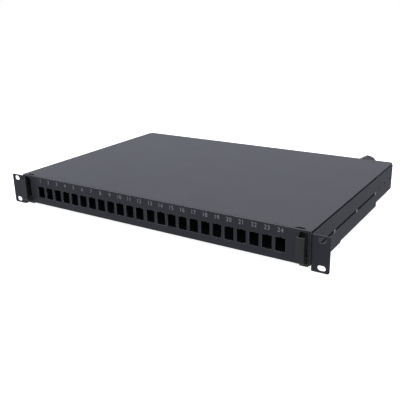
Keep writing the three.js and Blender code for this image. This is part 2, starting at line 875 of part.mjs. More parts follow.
// ---------------------------------------------------------------- inside the drawer

const splicePlace = [0, spliceCentreY];
const studBaseTop = seatedZ + SHEET;
const lowerPanZ = studBaseTop + FIT.seat;
const upperPanZ = lowerPanZ + SPLICE.height + FIT.seat;
const lidZ = upperPanZ + SPLICE.height + FIT.seat;
const nutZ = lidZ + SPLICE.wall + FIT.seat;

function spliceOutline(inset) {
  return roundedRectangle(
    [inset - SPLICE.width / 2, SPLICE.width / 2 - inset],
    [spliceCentreY - SPLICE.depth / 2 + inset, spliceCentreY + SPLICE.depth / 2 - inset],
    SPLICE.cornerRadius - inset,
  );
}

function studHole(span) {
  return rod("z", SPLICE.studRadius + FIT.hole, [span[0] - 1, span[1] + 1], splicePlace, 5);
}

function splicePan(name, z) {
  const span = [z, z + SPLICE.height];
  const outside = plate(spliceOutline(0), "z", span, 6);
  const inside = plate(spliceOutline(SPLICE.wall), "z", [z + SPLICE.wall, span[1] + 1], 6);
  return meshOf(name, cut(outside, [inside, studHole(span)]), trayPlastic);
}

function spliceComb(name, panZ) {
  const { combWidth, combDepth, combHeight, combRibs, combOffset, wall } = SPLICE;
  const baseZ = panZ + wall + FIT.seat;
  const middleY = spliceCentreY + combOffset;
  const y = [middleY - combDepth / 2, middleY + combDepth / 2];
  const [floorZ, topZ] = [baseZ + 1, baseZ + combHeight];
  const teeth = row(combRibs, (combWidth - wall) / (combRibs - 1)).flatMap((x) => [
    [x - wall / 2, floorZ],
    [x - wall / 2, topZ],
    [x + wall / 2, topZ],
    [x + wall / 2, floorZ],
  ]);
  const section = [
    [-combWidth / 2, baseZ],
    ...teeth.slice(1, -1),
    [combWidth / 2, baseZ],
  ];
  return meshOf(name, plate(polygon(section), "y", y), rubber);
}

function spliceStack() {
  const lidSpan = [lidZ, lidZ + SPLICE.wall];
  const lid = plate(spliceOutline(0), "z", lidSpan, 6).subtract(studHole(lidSpan));
  const stud = union([
    rod("z", SPLICE.studBaseRadius, [seatedZ, studBaseTop], splicePlace, 8),
    rod("z", SPLICE.studRadius, [seatedZ + SHEET / 2, nutZ + SPLICE.nutHeight - 3], splicePlace, 5),
  ]);
  const nutSpan = [nutZ, nutZ + SPLICE.nutHeight];
  const thumbNut = rod("z", SPLICE.nutRadius, nutSpan, splicePlace, 12).subtract(
    studHole([nutZ, nutSpan[1] - 2]),
  );
  return [
    splicePan("splice_tray_lower", lowerPanZ),
    splicePan("splice_tray_upper", upperPanZ),
    spliceComb("splice_comb_lower", lowerPanZ),
    spliceComb("splice_comb_upper", upperPanZ),
    meshOf("splice_tray_lid", lid, clearLid),
    meshOf("tray_stud", stud, zincSteel),
    meshOf("tray_thumb_nut", thumbNut, nylon),
  ];
}

// Upright ring with a slit on top, for a loop of fibre.
function fibreGuide(number, x, y) {
  const { width, height, depth, wall, slit } = GUIDE;
  const half = width / 2;
  const along = [y - depth / 2, y + depth / 2];
  const outer = roundedRectangle([x - half, x + half], [seatedZ, seatedZ + height], 5);
  const inner = roundedRectangle(
    [x - half + wall, x + half - wall],
    [seatedZ + wall, seatedZ + height - wall],
    5 - wall,
  );
  const past = [along[0] - 1, along[1] + 1];
  const tools = [
    plate(inner, "y", past, 3),
    box([x - slit / 2, x + slit / 2], past, [seatedZ + height / 2, seatedZ + height + 1]),
  ];
  return meshOf("fibre_guide_" + number, cut(plate(outer, "y", along, 3), tools), nylon);
}

function fibreGuides() {
  const rear = spliceCentreY + SPLICE.depth / 2 - GUIDE.fromSplice;
  const front = spliceCentreY - SPLICE.depth / 2 + GUIDE.fromSplice;
  const places = [
    [-GUIDE.x, front],
    [GUIDE.x, front],
    [-GUIDE.x, rear],
    [GUIDE.x, rear],
  ];
  return places.map(([x, y], i) => fibreGuide(i + 1, x, y));
}

function cableClamp() {
  const centreY = trayRearY - CLAMP.fromTrayRear;
  const along = [centreY - CLAMP.depth / 2, centreY + CLAMP.depth / 2];
  const [left, right] = [ENTRY.x - CLAMP.width / 2, ENTRY.x + CLAMP.width / 2];
  const baseTop = seatedZ + CLAMP.baseHeight;
  const strapZ = baseTop + FIT.seat;
  const groove = rod(
    "y",
    CLAMP.archRadius,
    [along[0] - 1, along[1] + 1],
    [ENTRY.x, baseTop + CLAMP.archRadius / 2],
    10,
  );
  const screwRows = row(2, CLAMP_SCREW.pitch).map((dx) => [ENTRY.x + dx, centreY]);
  const screwHoles = screwRows.map((place) =>
    rod("z", CLAMP_SCREW.shank + FIT.hole, [seatedZ + 1, strapZ + CLAMP.strap + 1], place, 4),
  );
  const base = cut(box([left, right], along, [seatedZ, baseTop]), [groove, ...screwHoles]);

  const arch = CLAMP.archRadius;
  const outline = new THREE.Shape();
  outline.moveTo(left, strapZ);
  outline.lineTo(ENTRY.x - arch, strapZ);
  outline.absarc(ENTRY.x, strapZ, arch, Math.PI, 0, true);
  outline.lineTo(right, strapZ);
  outline.lineTo(right, strapZ + CLAMP.strap);
  outline.lineTo(ENTRY.x + arch + CLAMP.strap, strapZ + CLAMP.strap);
  outline.absarc(ENTRY.x, strapZ, arch + CLAMP.strap, Math.asin(CLAMP.strap / (arch + CLAMP.strap)),
    Math.PI - Math.asin(CLAMP.strap / (arch + CLAMP.strap)), false);
  outline.lineTo(left, strapZ + CLAMP.strap);
  const strap = cut(plate(outline, "y", along, 8), screwHoles);

  const headZ = strapZ + CLAMP.strap + FIT.seat;
  const screws = screwRows.map((place, i) =>
    meshOf(
      "cable_clamp_screw_" + (i + 1),
      union([
        rod("z", CLAMP_SCREW.shank, [seatedZ + 1 + FIT.seat, headZ + 1], place, 4),
        rod("z", CLAMP_SCREW.head, [headZ, headZ + CLAMP_SCREW.headHeight], place, 6),
      ]),
      zincSteel,
    ),
  );
  return [
    meshOf("cable_clamp_base", base, nylon),
    meshOf("cable_clamp_strap", strap, zincSteel),
    ...screws,
  ];
}

// ---------------------------------------------------------------- assembly

const panel = new THREE.Group();
const casing = new THREE.Group();
const drawer = new THREE.Group();
panel.add(casing, drawer);

casing.add(casingFloor(), rearPanel(), topCover(), coverRearFlange());
casing.add(...glandPieces(), ...entryPlugPieces());
row(COVER_SCREW.count, COVER_SCREW.pitch).forEach((x, i) => casing.add(coverScrew(i + 1, x)));

drawer.add(drawerTray(), frontPanel(), panelFoot());
drawer.add(...spliceStack(), ...fibreGuides(), ...cableClamp());
rivetPlaces().forEach((x, i) => drawer.add(panelRivet(i + 1, x)));

// The pieces of each side are drawn for +X and mirrored for the left.
for (const [side, word] of [[-1, "left"], [1, "right"]]) {
  const fixedSide = new THREE.Group();
  fixedSide.scale.x = side;
  fixedSide.add(
    sidePanel("side_panel_" + word),
    coverSideFlange("cover_flange_" + word),
    outerSlide("slide_outer_" + word),
    rackEar("rack_ear_" + word),
  );
  for (let i = 0; i < EAR_SCREW.count; i++)
    fixedSide.add(earScrew("ear_screw_" + word + "_" + (i + 1), i));
  casing.add(fixedSide);

  const drawerSide = new THREE.Group();
  drawerSide.scale.x = side;
  drawerSide.add(
    innerSlide("slide_inner_" + word),
    latchPocket("latch_pocket_" + word),
    latchPin("latch_pin_" + word),
    latch("latch_" + word),
  );
  drawer.add(drawerSide);
}

// The origin is under the middle of the whole panel, from the finger pulls to the gland.
panel.position.y = -(LATCH.frontY + glandEndY) / 2;

export default panel;
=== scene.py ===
"""Dresses a sliding fibre termination panel, one rack unit high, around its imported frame.

The casing, cover, drawer and ears are folded sheet steel under a fine-texture black powder coat, the
slides and fasteners are zinc plated, and the pulls, glands and cable guides are moulded plastic.
Lengths are millimetres in the row frame throughout, and meshes are scaled to metres as they are made.
"""
from __future__ import annotations

import logging
import math
from collections.abc import Callable, Mapping, Sequence
from dataclasses import dataclass, field
from enum import Enum

import bmesh
import bpy
import numpy as np
from mathutils import Matrix, Vector
from mathutils.geometry import tessellate_polygon


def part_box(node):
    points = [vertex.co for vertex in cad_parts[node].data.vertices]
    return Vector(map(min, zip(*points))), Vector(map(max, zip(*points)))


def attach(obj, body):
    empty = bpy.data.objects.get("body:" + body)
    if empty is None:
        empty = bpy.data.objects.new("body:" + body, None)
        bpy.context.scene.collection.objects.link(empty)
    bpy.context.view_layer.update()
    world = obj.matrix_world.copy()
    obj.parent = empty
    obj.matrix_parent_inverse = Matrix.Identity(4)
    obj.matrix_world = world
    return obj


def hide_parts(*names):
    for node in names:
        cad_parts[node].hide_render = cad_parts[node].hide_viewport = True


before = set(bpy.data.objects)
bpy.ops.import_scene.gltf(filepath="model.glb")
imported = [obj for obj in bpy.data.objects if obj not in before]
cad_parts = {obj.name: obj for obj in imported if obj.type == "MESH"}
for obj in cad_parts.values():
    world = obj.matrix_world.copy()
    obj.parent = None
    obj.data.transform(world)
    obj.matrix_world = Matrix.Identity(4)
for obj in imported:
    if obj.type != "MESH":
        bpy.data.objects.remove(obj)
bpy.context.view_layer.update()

LOG = logging.getLogger("termination_panel")
MM = 0.001
SHEET = 1.2  # gauge of the casing, cover, tray and slides
SMOOTH_BELOW = math.radians(28)  # neighbouring faces that meet at less than this are shaded as one
SIDES = {"left": -1, "right": 1}

Point = tuple[float, float]
Corner = tuple[float, float, float]
Loop = list[Point]


class Body(Enum):
    """Rigid bodies of the frame that pieces ride on."""

    CASING = "casing"
    DRAWER = "drawer"
    LATCH_LEFT = "latch_left"
    LATCH_RIGHT = "latch_right"
    EAR_LEFT = "ear_left"
    EAR_RIGHT = "ear_right"
    GLAND_NUT = "gland_nut"
    THUMB_NUT = "thumb_nut"


class Slot(Enum):
    """Material slots of the record."""

    POWDER_COAT = "powder_coat"
    ZINC = "zinc_steel"
    LATCH = "latch_plastic"
    NYLON = "black_nylon"
    RUBBER = "seal_rubber"
    TRAY = "splice_plastic"
    LID = "lid_plastic"


# ------------------------------------------------------------------ node trees


def linear(colour: str) -> tuple[float, float, float, float]:
    """Turns an sRGB hex colour into linear light.

    Args:
        colour: Six hex digits after a hash sign.

    Returns:
        Red, green, blue and an alpha of 1.
    """
    parts = (int(colour[i : i + 2], 16) / 255 for i in (1, 3, 5))
    red, green, blue = (c / 12.92 if c <= 0.04045 else ((c + 0.055) / 1.055) ** 2.4 for c in parts)
    return red, green, blue, 1.0


def add_node(
    tree: bpy.types.NodeTree,
    kind: str,
    inputs: Mapping[str | int, object] | None = None,
    **settings: object,
) -> bpy.types.Node:
    """Adds one node with its settings, input values and links.

    Args:
        tree: Shader or geometry tree that gets the node.
        kind: Blender's name of the node type.
        inputs: A value, an output socket or a list of output sockets for each input by name or number.
        **settings: Properties of the node.

    Returns:
        The new node.
    """
    node = tree.nodes.new(kind)
    for name, value in settings.items():
        setattr(node, name, value)
    for key, value in (inputs or {}).items():
        for source in value if isinstance(value, list) else [value]:
            if isinstance(source, bpy.types.NodeSocket):
                tree.links.new(source, node.inputs[key])
            else:
                node.inputs[key].default_value = source
    return node


# ------------------------------------------------------------------ finishes


@dataclass(frozen=True)
class Finish:
    """A surface finish that can make its own material.

    Attributes:
        name: Name of the material.
        slot: The record's material slot that it stands for. Not used.
        colour: Main colour, as sRGB hex.
        other: Second colour of its mottle, as sRGB hex.
        roughness: Mean roughness.
        spread: How far the roughness wanders to each side of its mean.
        grain: Real size of the surface grain, in millimetres.
        relief: Height of the grain, in millimetres.
    """

    name: str
    slot: Slot
    colour: str
    other: str
    roughness: float
    spread: float
    grain: float
    relief: float

    def material(self) -> bpy.types.Material:
        """Returns the finish's material, which is built the first time."""
        found = bpy.data.materials.get(self.name)
        if found is not None:
            return found
        made = bpy.data.materials.new(self.name)
        made.use_nodes = True
        made.node_tree.nodes.clear()
        self.build(made.node_tree)
        return made

    def place(self, tree: bpy.types.NodeTree, stretch: Sequence[float] = (1, 1, 1)) -> bpy.types.NodeSocket:
        """Returns the socket of an object-space position, stretched along the axes."""
        where = add_node(tree, "ShaderNodeTexCoord").outputs["Object"]
        return add_node(
            tree, "ShaderNodeMapping", {"Vector": where, "Scale": tuple(stretch)}
        ).outputs["Vector"]

    def noise(
        self, tree: bpy.types.NodeTree, where: bpy.types.NodeSocket, size: float, detail: float = 2.0
    ) -> bpy.types.NodeSocket:
        """Adds noise whose lumps are about as wide as a real size.

        Args:
            tree: Tree of the material.
            where: Position socket.
            size: Width of a lump, in millimetres.
            detail: Octaves of finer noise.

        Returns:
            The noise value, around one half.
        """
        return add_node(
            tree,
            "ShaderNodeTexNoise",
            {"Vector": where, "Scale": 1 / (size * MM), "Detail": detail, "Roughness": 0.55},
        ).outputs["Fac"]

    def spread_over(
        self, tree: bpy.types.NodeTree, noise: bpy.types.NodeSocket, low: float, high: float
    ) -> bpy.types.NodeSocket:
        """Maps the middle of a noise value onto the range from low to high.

        Args:
            tree: Tree of the material.
            noise: Socket of the noise.
            low: Value for thin noise.
            high: Value for thick noise.

        Returns:
            The mapped value.
        """
        return add_node(
            tree,
            "ShaderNodeMapRange",
            {"Value": noise, "From Min": 0.3, "From Max": 0.7, "To Min": low, "To Max": high},
        ).outputs["Result"]

    def mottle(self, tree: bpy.types.NodeTree, noise: bpy.types.NodeSocket) -> bpy.types.NodeSocket:
        """Mixes the two colours of the finish by a noise value.

        Args:
            tree: Tree of the material.
            noise: Socket of the noise.

        Returns:
            The mixed colour.
        """
        share = self.spread_over(tree, noise, 0.0, 1.0)
        return add_node(
            tree,
            "ShaderNodeMix",
            {"Factor": share, "A": linear(self.colour), "B": linear(self.other)},
            data_type="RGBA",
        ).outputs["Result"]

    def relief_of(self, tree: bpy.types.NodeTree, height: bpy.types.NodeSocket) -> bpy.types.NodeSocket:
        """Turns a height from 0 to 1 into the grain's normal."""
        return add_node(
            tree, "ShaderNodeBump", {"Height": height, "Strength": 1.0, "Distance": self.relief * MM}
        ).outputs["Normal"]

    def surface(self, tree: bpy.types.NodeTree, inputs: Mapping[str | int, object]) -> None:
        """Adds the shader and the output, with the finish's own inputs."""
        shader = add_node(tree, "ShaderNodeBsdfPrincipled", inputs)
        add_node(tree, "ShaderNodeOutputMaterial", {"Surface": shader.outputs["BSDF"]})

    def build(self, tree: bpy.types.NodeTree) -> None:
        """Fills the material's tree: a mottled, grained, non-metallic surface.

        Args:
            tree: The material's tree.
        """
        where = self.place(tree)
        grain = self.noise(tree, where, self.grain)
        self.surface(
            tree,
            {
                "Base Color": self.mottle(tree, self.noise(tree, where, 14 * self.grain, 3.0)),
                "Roughness": self.spread_over(
                    tree, grain, self.roughness - self.spread, self.roughness + self.spread
                ),
                "Normal": self.relief_of(tree, grain),
            },
        )


@dataclass(frozen=True)
class PowderCoat(Finish):
    """Polyester powder, sprayed dry and baked: a black skin of tiny even bumps that greys at a glance.

    Attributes:
        cloud: Width of the faint patches where the film is thicker or thinner, in millimetres.
    """

    cloud: float = 45.0

    def build(self, tree: bpy.types.NodeTree) -> None:
        """Fills the tree: bumps of powder, a speckle on them, and faint clouds of film thickness.

        Args:
            tree: The material's tree.
        """
        where = self.place(tree)
        bumps = self.noise(tree, where, self.grain, 3.0)
        cloud = self.noise(tree, where, self.cloud, 2.0)
        mixed = add_node(
            tree, "ShaderNodeMath", {0: bumps, 1: 0.45, 2: cloud}, operation="MULTIPLY_ADD"
        ).outputs["Value"]
        tone = add_node(
            tree,
            "ShaderNodeMapRange",
            {"Value": mixed, "From Min": 0.5, "From Max": 0.95},
        ).outputs["Result"]
        colour = add_node(
            tree,
            "ShaderNodeMix",
            {"Factor": tone, "A": linear(self.colour), "B": linear(self.other)},
            data_type="RGBA",
        ).outputs["Result"]
        rough = self.spread_over(
            tree, bumps, self.roughness - self.spread, self.roughness + self.spread
        )
        self.surface(
            tree,
            {
                "Base Color": colour,
                "Roughness": rough,
                "IOR": 1.5,
                "Normal": self.relief_of(tree, bumps),
            },
        )


@dataclass(frozen=True)
class ZincPlate(Finish):
    """Bright zinc on rolled steel: a clear blue-white metal with the faint streaks of the rolling.

    Attributes:
        streak: Length of a rolling streak over its width.
    """

    streak: float = 12.0

    def build(self, tree: bpy.types.NodeTree) -> None:
        """Fills the tree: metal whose roughness and relief run in streaks along Y.

        Args:
            tree: The material's tree.
        """
        where = self.place(tree, (1.0, 1 / self.streak, 1.0))
        streaks = self.noise(tree, where, self.grain, 4.0)
        tint = self.noise(tree, self.place(tree), 30 * self.grain, 2.0)
        self.surface(
            tree,
            {
                "Base Color": self.mottle(tree, tint),
                "Metallic": 1.0,
                "Roughness": self.spread_over(
                    tree, streaks, self.roughness - self.spread, self.roughness + self.spread
                ),
                "Normal": self.relief_of(tree, streaks),
            },
        )


@dataclass(frozen=True)
class ClearSheet(Finish):
    """Clear polycarbonate sheet: see-through, with a cool tint and soft handling marks."""

    def build(self, tree: bpy.types.NodeTree) -> None:
        """Fills the tree: a smooth transmitting sheet with slightly uneven gloss.

        Args:
            tree: The material's tree.
        """
        marks = self.noise(tree, self.place(tree), self.grain, 3.0)
        self.surface(
            tree,
            {
                "Base Color": self.mottle(tree, marks),
                "Roughness": self.spread_over(
                    tree, marks, self.roughness - self.spread, self.roughness + self.spread
                ),
                "Transmission Weight": 0.85,
                "IOR": 1.58,
                "Normal": self.relief_of(tree, marks),
            },
        )


# Real powder grain is near 0.15 mm, which no view of the whole panel would show, so it is drawn wider.
POWDER = PowderCoat("powder_coat_black", Slot.POWDER_COAT, "#303237", "#36383e", 0.5, 0.05, 1.3, 0.035)
ZINC = ZincPlate("zinc_plated_steel", Slot.ZINC, "#b3b7bc", "#c3c1b8", 0.34, 0.08, 0.5, 0.006)
# Spark-eroded mould texture of about 0.1 mm, drawn wider for the same reason.
LATCH_ABS = Finish("spark_textured_abs", Slot.LATCH, "#383836", "#3e3e3b", 0.48, 0.06, 0.9, 0.03)
NYLON = Finish("moulded_nylon_black", Slot.NYLON, "#17171a", "#1f1f21", 0.42, 0.07, 0.8, 0.02)
# Lighter copy of the black nylon for the latch housings: its grey is painted light that brightens the
# shaded pockets behind the finger openings.
NYLON_PAINTED_POCKET_LIGHT = Finish("moulded_nylon_grey", Slot.NYLON, "#38383a", "#404042", 0.5, 0.06, 0.8, 0.02)
RUBBER = Finish("moulded_rubber_black", Slot.RUBBER, "#101011", "#171717", 0.75, 0.08, 0.7, 0.03)
TRAY_ABS = Finish("moulded_abs_grey", Slot.TRAY, "#cfd0cc", "#d9dad6", 0.42, 0.06, 0.9, 0.015)
LID_PC = ClearSheet("clear_polycarbonate", Slot.LID, "#dfe7ea", "#e8eef0", 0.1, 0.03, 9.0, 0.004)
# Pad-printed enamel ink lies flat and a little uneven on the powder below it.
INK = Finish("printed_ink_grey", Slot.POWDER_COAT, "#b4b6b8", "#c4c6c8", 0.55, 0.08, 0.5, 0.01)


# ------------------------------------------------------------------ outlines


def rounded(corners: Sequence[Corner], steps: int = 5) -> Loop:
    """Draws an outline whose corners are arcs.

    Args:
        corners: The sharp corners in order, each with the radius of its arc.
        steps: Straight steps in each arc.

    Returns:
        The points of the outline.
    """
    points: Loop = []
    for i, (u, v, radius) in enumerate(corners):
        here = Vector((u, v))
        back = (Vector(corners[i - 1][:2]) - here).normalized()
        ahead = (Vector(corners[(i + 1) % len(corners)][:2]) - here).normalized()
        if radius <= 0:
            points.append((u, v))
            continue
        half = back.angle(ahead) / 2
        centre = here + (back + ahead).normalized() * (radius / math.sin(half))
        start, end = (here + way * (radius / math.tan(half)) - centre for way in (back, ahead))
        first = math.atan2(start.y, start.x)
        sweep = (math.atan2(end.y, end.x) - first + math.pi) % math.tau - math.pi
        for k in range(steps + 1):
            angle = first + sweep * k / steps
            points.append((centre.x + radius * math.cos(angle), centre.y + radius * math.sin(angle)))
    return without_repeats(points)


def without_repeats(points: Loop, least: float = 1e-4) -> Loop:
    """Returns a closed outline without points that fall on the one before them."""
    return [p for i, p in enumerate(points) if math.dist(p, points[i - 1]) > least]


def rectangle(u: Point, v: Point, radius: float = 0.0, steps: int = 5) -> Loop:
    """Returns a rectangle from u[0] to u[1] and v[0] to v[1] with rounded corners."""
    corners = [(u[0], v[0]), (u[1], v[0]), (u[1], v[1]), (u[0], v[1])]
    return rounded([(*corner, radius) for corner in corners], steps)


def obround(centre: Point, length: float, height: float, steps: int = 8) -> Loop:
    """Returns a slot with round ends, long in u."""
    (u, v), radius = centre, height / 2
    flat = 0.999 * radius  # keeps a hair of straight end, so that the two arcs stay apart
    return rectangle((u - length / 2, u + length / 2), (v - radius, v + radius), flat, steps)


def circle(centre: Point, radius: float, sides: int = 32) -> Loop:
    """Returns a round outline."""
    turns = (math.tau * k / sides for k in range(sides))
    return [(centre[0] + radius * math.cos(a), centre[1] + radius * math.sin(a)) for a in turns]


def arc(centre: Point, radius: float, start: float, end: float, steps: int = 10) -> Loop:
    """Returns the points of an arc from one angle to another, in degrees."""
    turns = (math.radians(start + (end - start) * k / steps) for k in range(steps + 1))
    return [(centre[0] + radius * math.cos(a), centre[1] + radius * math.sin(a)) for a in turns]


def area(loop: Loop) -> float:
    """Returns the area of an outline, positive where it runs anticlockwise."""
    return sum(loop[i - 1][0] * p[1] - p[0] * loop[i - 1][1] for i, p in enumerate(loop)) / 2


def inset(loop: Loop, distance: float) -> Loop:
    """Moves an outline to the left of its own direction, with mitred corners.

    Args:
        loop: The outline.
        distance: How far it moves, in millimetres.

    Returns:
        The moved outline.
    """
    moved: Loop = []
    for i, (u, v) in enumerate(loop):
        before, after = loop[i - 1], loop[(i + 1) % len(loop)]
        first = Vector((before[1] - v, u - before[0])).normalized()
        second = Vector((v - after[1], after[0] - u)).normalized()
        shift = (first + second) * (distance / max(0.2, 1 + first.dot(second)))
        moved.append((u + shift.x, v + shift.y))
    return moved


# ------------------------------------------------------------------ solids


@dataclass(frozen=True)
class Fold:
    """A straight bend in a sheet.

    Attributes:
        axis: 0 where the bend line crosses u, 1 where it crosses v.
        start: Where the bend begins on the flat blank.
        way: 1 where the part past larger values is folded, -1 where the part past smaller ones is.
        radius: Inside radius.
        up: Folded towards the upper face, or else towards the lower one.
        where: Says which points (u, v) of the blank belong to the folded part.
    """

    axis: int
    start: float
    way: int
    radius: float
    up: bool = True
    where: Callable[[np.ndarray, np.ndarray], np.ndarray] | None = None

    def length(self, thickness: float) -> float:
        """Returns how much of the flat blank a right-angled bend takes up."""
        return math.pi / 2 * (self.radius + thickness / 2)


@dataclass
class Blank:
    """A flat shape with holes, given a thickness and rounded rims, and folded where it has folds.

    Attributes:
        outline: Outer edge.
        thickness: Between the lower face, at w = 0, and the upper face.
        holes: Edges of the holes.
        rim: Radius on every edge.
        folds: Bends, from the outermost inwards.
        profile: Steps (inset, w) of the outer edge from the lower face to the upper one, for an edge
            that isn't plain.
    """

    outline: Loop
    thickness: float
    holes: Sequence[Loop] = ()
    rim: float = 0.18
    folds: Sequence[Fold] = ()
    profile: Sequence[Point] | None = None

    RIM_STEPS = 2
    BEND_STEPS = 6

    def plain_profile(self) -> list[Point]:
        """Returns the steps (inset, w) of a square edge with rounded rims."""
        turns = [math.pi / 2 * k / self.RIM_STEPS for k in range(self.RIM_STEPS + 1)]
        lower = [(self.rim * (1 - math.sin(a)), self.rim * (1 - math.cos(a))) for a in turns]
        return lower + [(back, self.thickness - w) for back, w in reversed(lower)]

    def solid(self) -> bmesh.types.BMesh:
        """Builds the closed, folded mesh.

        Returns:
            The mesh, in millimetres.
        """
        mesh = bmesh.new()
        plain = self.plain_profile()
        caps: list[list[list[bmesh.types.BMVert]]] = [[], []]
        for number, loop in enumerate([self.outline, *self.holes]):
            outer = number == 0
            if (area(loop) > 0) != outer:
                loop = loop[::-1]
            steps = self.profile if outer and self.profile else plain
            rings = [[mesh.verts.new((u, v, w)) for u, v in inset(loop, back)] for back, w in steps]
            for below, above in zip(rings, rings[1:]):
                for i in range(len(below)):
                    mesh.faces.new((below[i - 1], below[i], above[i], above[i - 1]))
            caps[0].append(rings[0])
            caps[1].append(rings[-1])
        for rings in caps:
            flat = [vert for ring in rings for vert in ring]
            for corners in tessellate_polygon([[v.co for v in ring] for ring in rings]):
                mesh.faces.new([flat[i] for i in corners])
        for fold in self.folds:
            self.score(mesh, fold)
        for fold in self.folds:
            self.bend(mesh, fold)
        return mesh

    def score(self, mesh: bmesh.types.BMesh, fold: Fold) -> None:
        """Cuts the faces along the lines that a fold turns about.

        Args:
            mesh: The flat sheet.
            fold: The fold.
        """
        normal = Vector((1, 0, 0)) if fold.axis == 0 else Vector((0, 1, 0))
        for k in range(self.BEND_STEPS + 1):
            at = fold.start + fold.way * fold.length(self.thickness) * k / self.BEND_STEPS
            everything = [*mesh.verts, *mesh.edges, *mesh.faces]
            bmesh.ops.bisect_plane(
                mesh, geom=everything, dist=1e-5, plane_co=normal * at, plane_no=normal
            )

    def bend(self, mesh: bmesh.types.BMesh, fold: Fold) -> None:
        """Rolls the part past a fold round the bend and turns what lies beyond it.

        Args:
            mesh: The scored sheet.
            fold: The fold.
        """
        places = np.array([v.co for v in mesh.verts])
        past = (places[:, fold.axis] - fold.start) * fold.way
        moves = past > 0
        if fold.where is not None:
            moves &= fold.where(places[:, 0], places[:, 1])
        height = places[:, 2] if fold.up else self.thickness - places[:, 2]
        length = fold.length(self.thickness)
        turn = math.pi / 2 * np.clip(past / length, 0, 1)
        straight = np.maximum(past - length, 0)
        reach = self.thickness + fold.radius - height
        along = reach * np.sin(turn) + straight * np.cos(turn)
        rise = self.thickness + fold.radius - reach * np.cos(turn) + straight * np.sin(turn)
        if not fold.up:
            rise = self.thickness - rise
        for vert, move, a, b in zip(mesh.verts, moves, along, rise):
            if move:
                vert.co[fold.axis] = fold.start + fold.way * a
                vert.co[2] = b


def turned(profile: Sequence[Point], sides: int = 48) -> bmesh.types.BMesh:
    """Turns a closed profile of (radius, height) round the w axis.

    Args:
        profile: Points in order. Points on the axis close into a pole.
        sides: Steps round the axis.

    Returns:
        The closed mesh.
    """
    mesh = bmesh.new()
    rings: list[list[bmesh.types.BMVert]] = []
    for radius, height in profile:
        if radius < 1e-6:
            rings.append([mesh.verts.new((0, 0, height))])
        else:
            rings.append([mesh.verts.new((u, v, height)) for u, v in circle((0, 0), radius, sides)])
    for i, ring in enumerate(rings):
        before = rings[i - 1]
        for k in range(sides):
            corners = [before[k - 1 if len(before) > 1 else 0], before[k if len(before) > 1 else 0]]
            corners += [ring[k if len(ring) > 1 else 0], ring[k - 1 if len(ring) > 1 else 0]]
            corners = list(dict.fromkeys(corners))
            if len(corners) > 2:
                mesh.faces.new(corners)
    return mesh


def hexagon_prism(
    flats: float, height: float, bore: float, chamfers: tuple[bool, bool] = (True, True)
) -> bmesh.types.BMesh:
    """Makes a hexagon nut along w, with the turned chamfers that leave curved edges on its flats.

    Args:
        flats: Width across the flats.
        height: Along w, from zero.
        bore: Radius of the hole.
        chamfers: Whether the lower and the upper end are chamfered.

    Returns:
        The closed mesh.
    """
    steps, slope, relief = 8, math.tan(math.radians(30)), 0.47
    sides = 6 * steps
    reach = [flats / 2 / math.cos((k % steps / steps - 0.5) * math.pi / 3) for k in range(sides)]
    face = relief * flats
    mesh = bmesh.new()

    def ring(radii: Sequence[float], heights: Sequence[float]) -> list[bmesh.types.BMVert]:
        """Adds one ring of vertices with a radius and a height for each step."""
        return [
            mesh.verts.new((r * math.cos(math.tau * k / sides), r * math.sin(math.tau * k / sides), h))
            for k, (r, h) in enumerate(zip(radii, heights))
        ]

    drop = [(r - face) * slope for r in reach]
    low = drop if chamfers[0] else [0.0] * sides
    high = [height - d for d in drop] if chamfers[1] else [height] * sides
    rings = [
        ring([bore] * sides, [0.0] * sides),
        ring([face] * sides, [0.0] * sides),
        ring(reach, low),
        ring(reach, high),
        ring([face] * sides, [height] * sides),
        ring([bore] * sides, [height] * sides),
    ]
    for i, outer in enumerate(rings):
        inner = rings[i - 1]
        for k in range(sides):
            mesh.faces.new((inner[k - 1], inner[k], outer[k], outer[k - 1]))
    return mesh


def threaded(radius: float, start: float, end: float, pitch: float, depth: float) -> list[Point]:
    """Returns the zigzag profile (radius, height) of a thread, drawn as rings.

    Args:
        radius: Outer radius.
        start: Height of the first ring.
        end: Height past the last ring.
        pitch: About the step of the rings.
        depth: From crest to root.

    Returns:
        The points, from start to end.
    """
    turns = round((end - start) / pitch)
    steps = [start + (end - start) * k / turns for k in range(turns)]
    half = (end - start) / turns / 2
    return [p for h in steps for p in ((radius - depth, h), (radius, h + half))] + [
        (radius - depth, end)
    ]


AXES = {"x": Vector((1, 0, 0)), "y": Vector((0, 1, 0)), "z": Vector((0, 0, 1))}


def frame_at(origin: Sequence[float], u: str, v: str, w: str) -> Matrix:
    """Returns the matrix that lays (u, v, w) along row axes such as "x" or "-z" from an origin."""
    columns = [AXES[name[-1]] * (-1 if name[0] == "-" else 1) for name in (u, v, w)]
    turn = Matrix(columns).transposed().to_4x4()
    return Matrix.Translation(origin) @ turn


def merged(parts: Sequence[tuple[bmesh.types.BMesh, Matrix]]) -> bmesh.types.BMesh:
    """Joins solids into one mesh, each laid out by its own matrix.

    Args:
        parts: Solids, which are used up, each with its matrix.

    Returns:
        The whole mesh.
    """
    whole = bmesh.new()
    for part, place in parts:
        part.transform(place)
        if place.determinant() < 0:
            bmesh.ops.reverse_faces(part, faces=part.faces)
        held = bpy.data.meshes.new("held")
        part.to_mesh(held)
        whole.from_mesh(held)
        bpy.data.meshes.remove(held)
        part.free()
    return whole


def linked(name: str, mesh: bpy.types.Mesh) -> bpy.types.Object:
    """Puts a mesh into the scene as an object at the origin."""
    piece = bpy.data.objects.new(name, mesh)
    bpy.context.scene.collection.objects.link(piece)
    return piece


def settle(piece: bpy.types.Object) -> bpy.types.Object:
    """Replaces a piece's mesh by what its modifiers make of it, and removes them.

    Args:
        piece: The piece, which keeps its name.

    Returns:
        The same piece.
    """
    view = bpy.context.evaluated_depsgraph_get()
    view.update()
    before = piece.data
    piece.data = bpy.data.meshes.new_from_object(piece.evaluated_get(view))
    piece.modifiers.clear()
    bpy.data.meshes.remove(before)
    piece.data.name = piece.name
    return piece


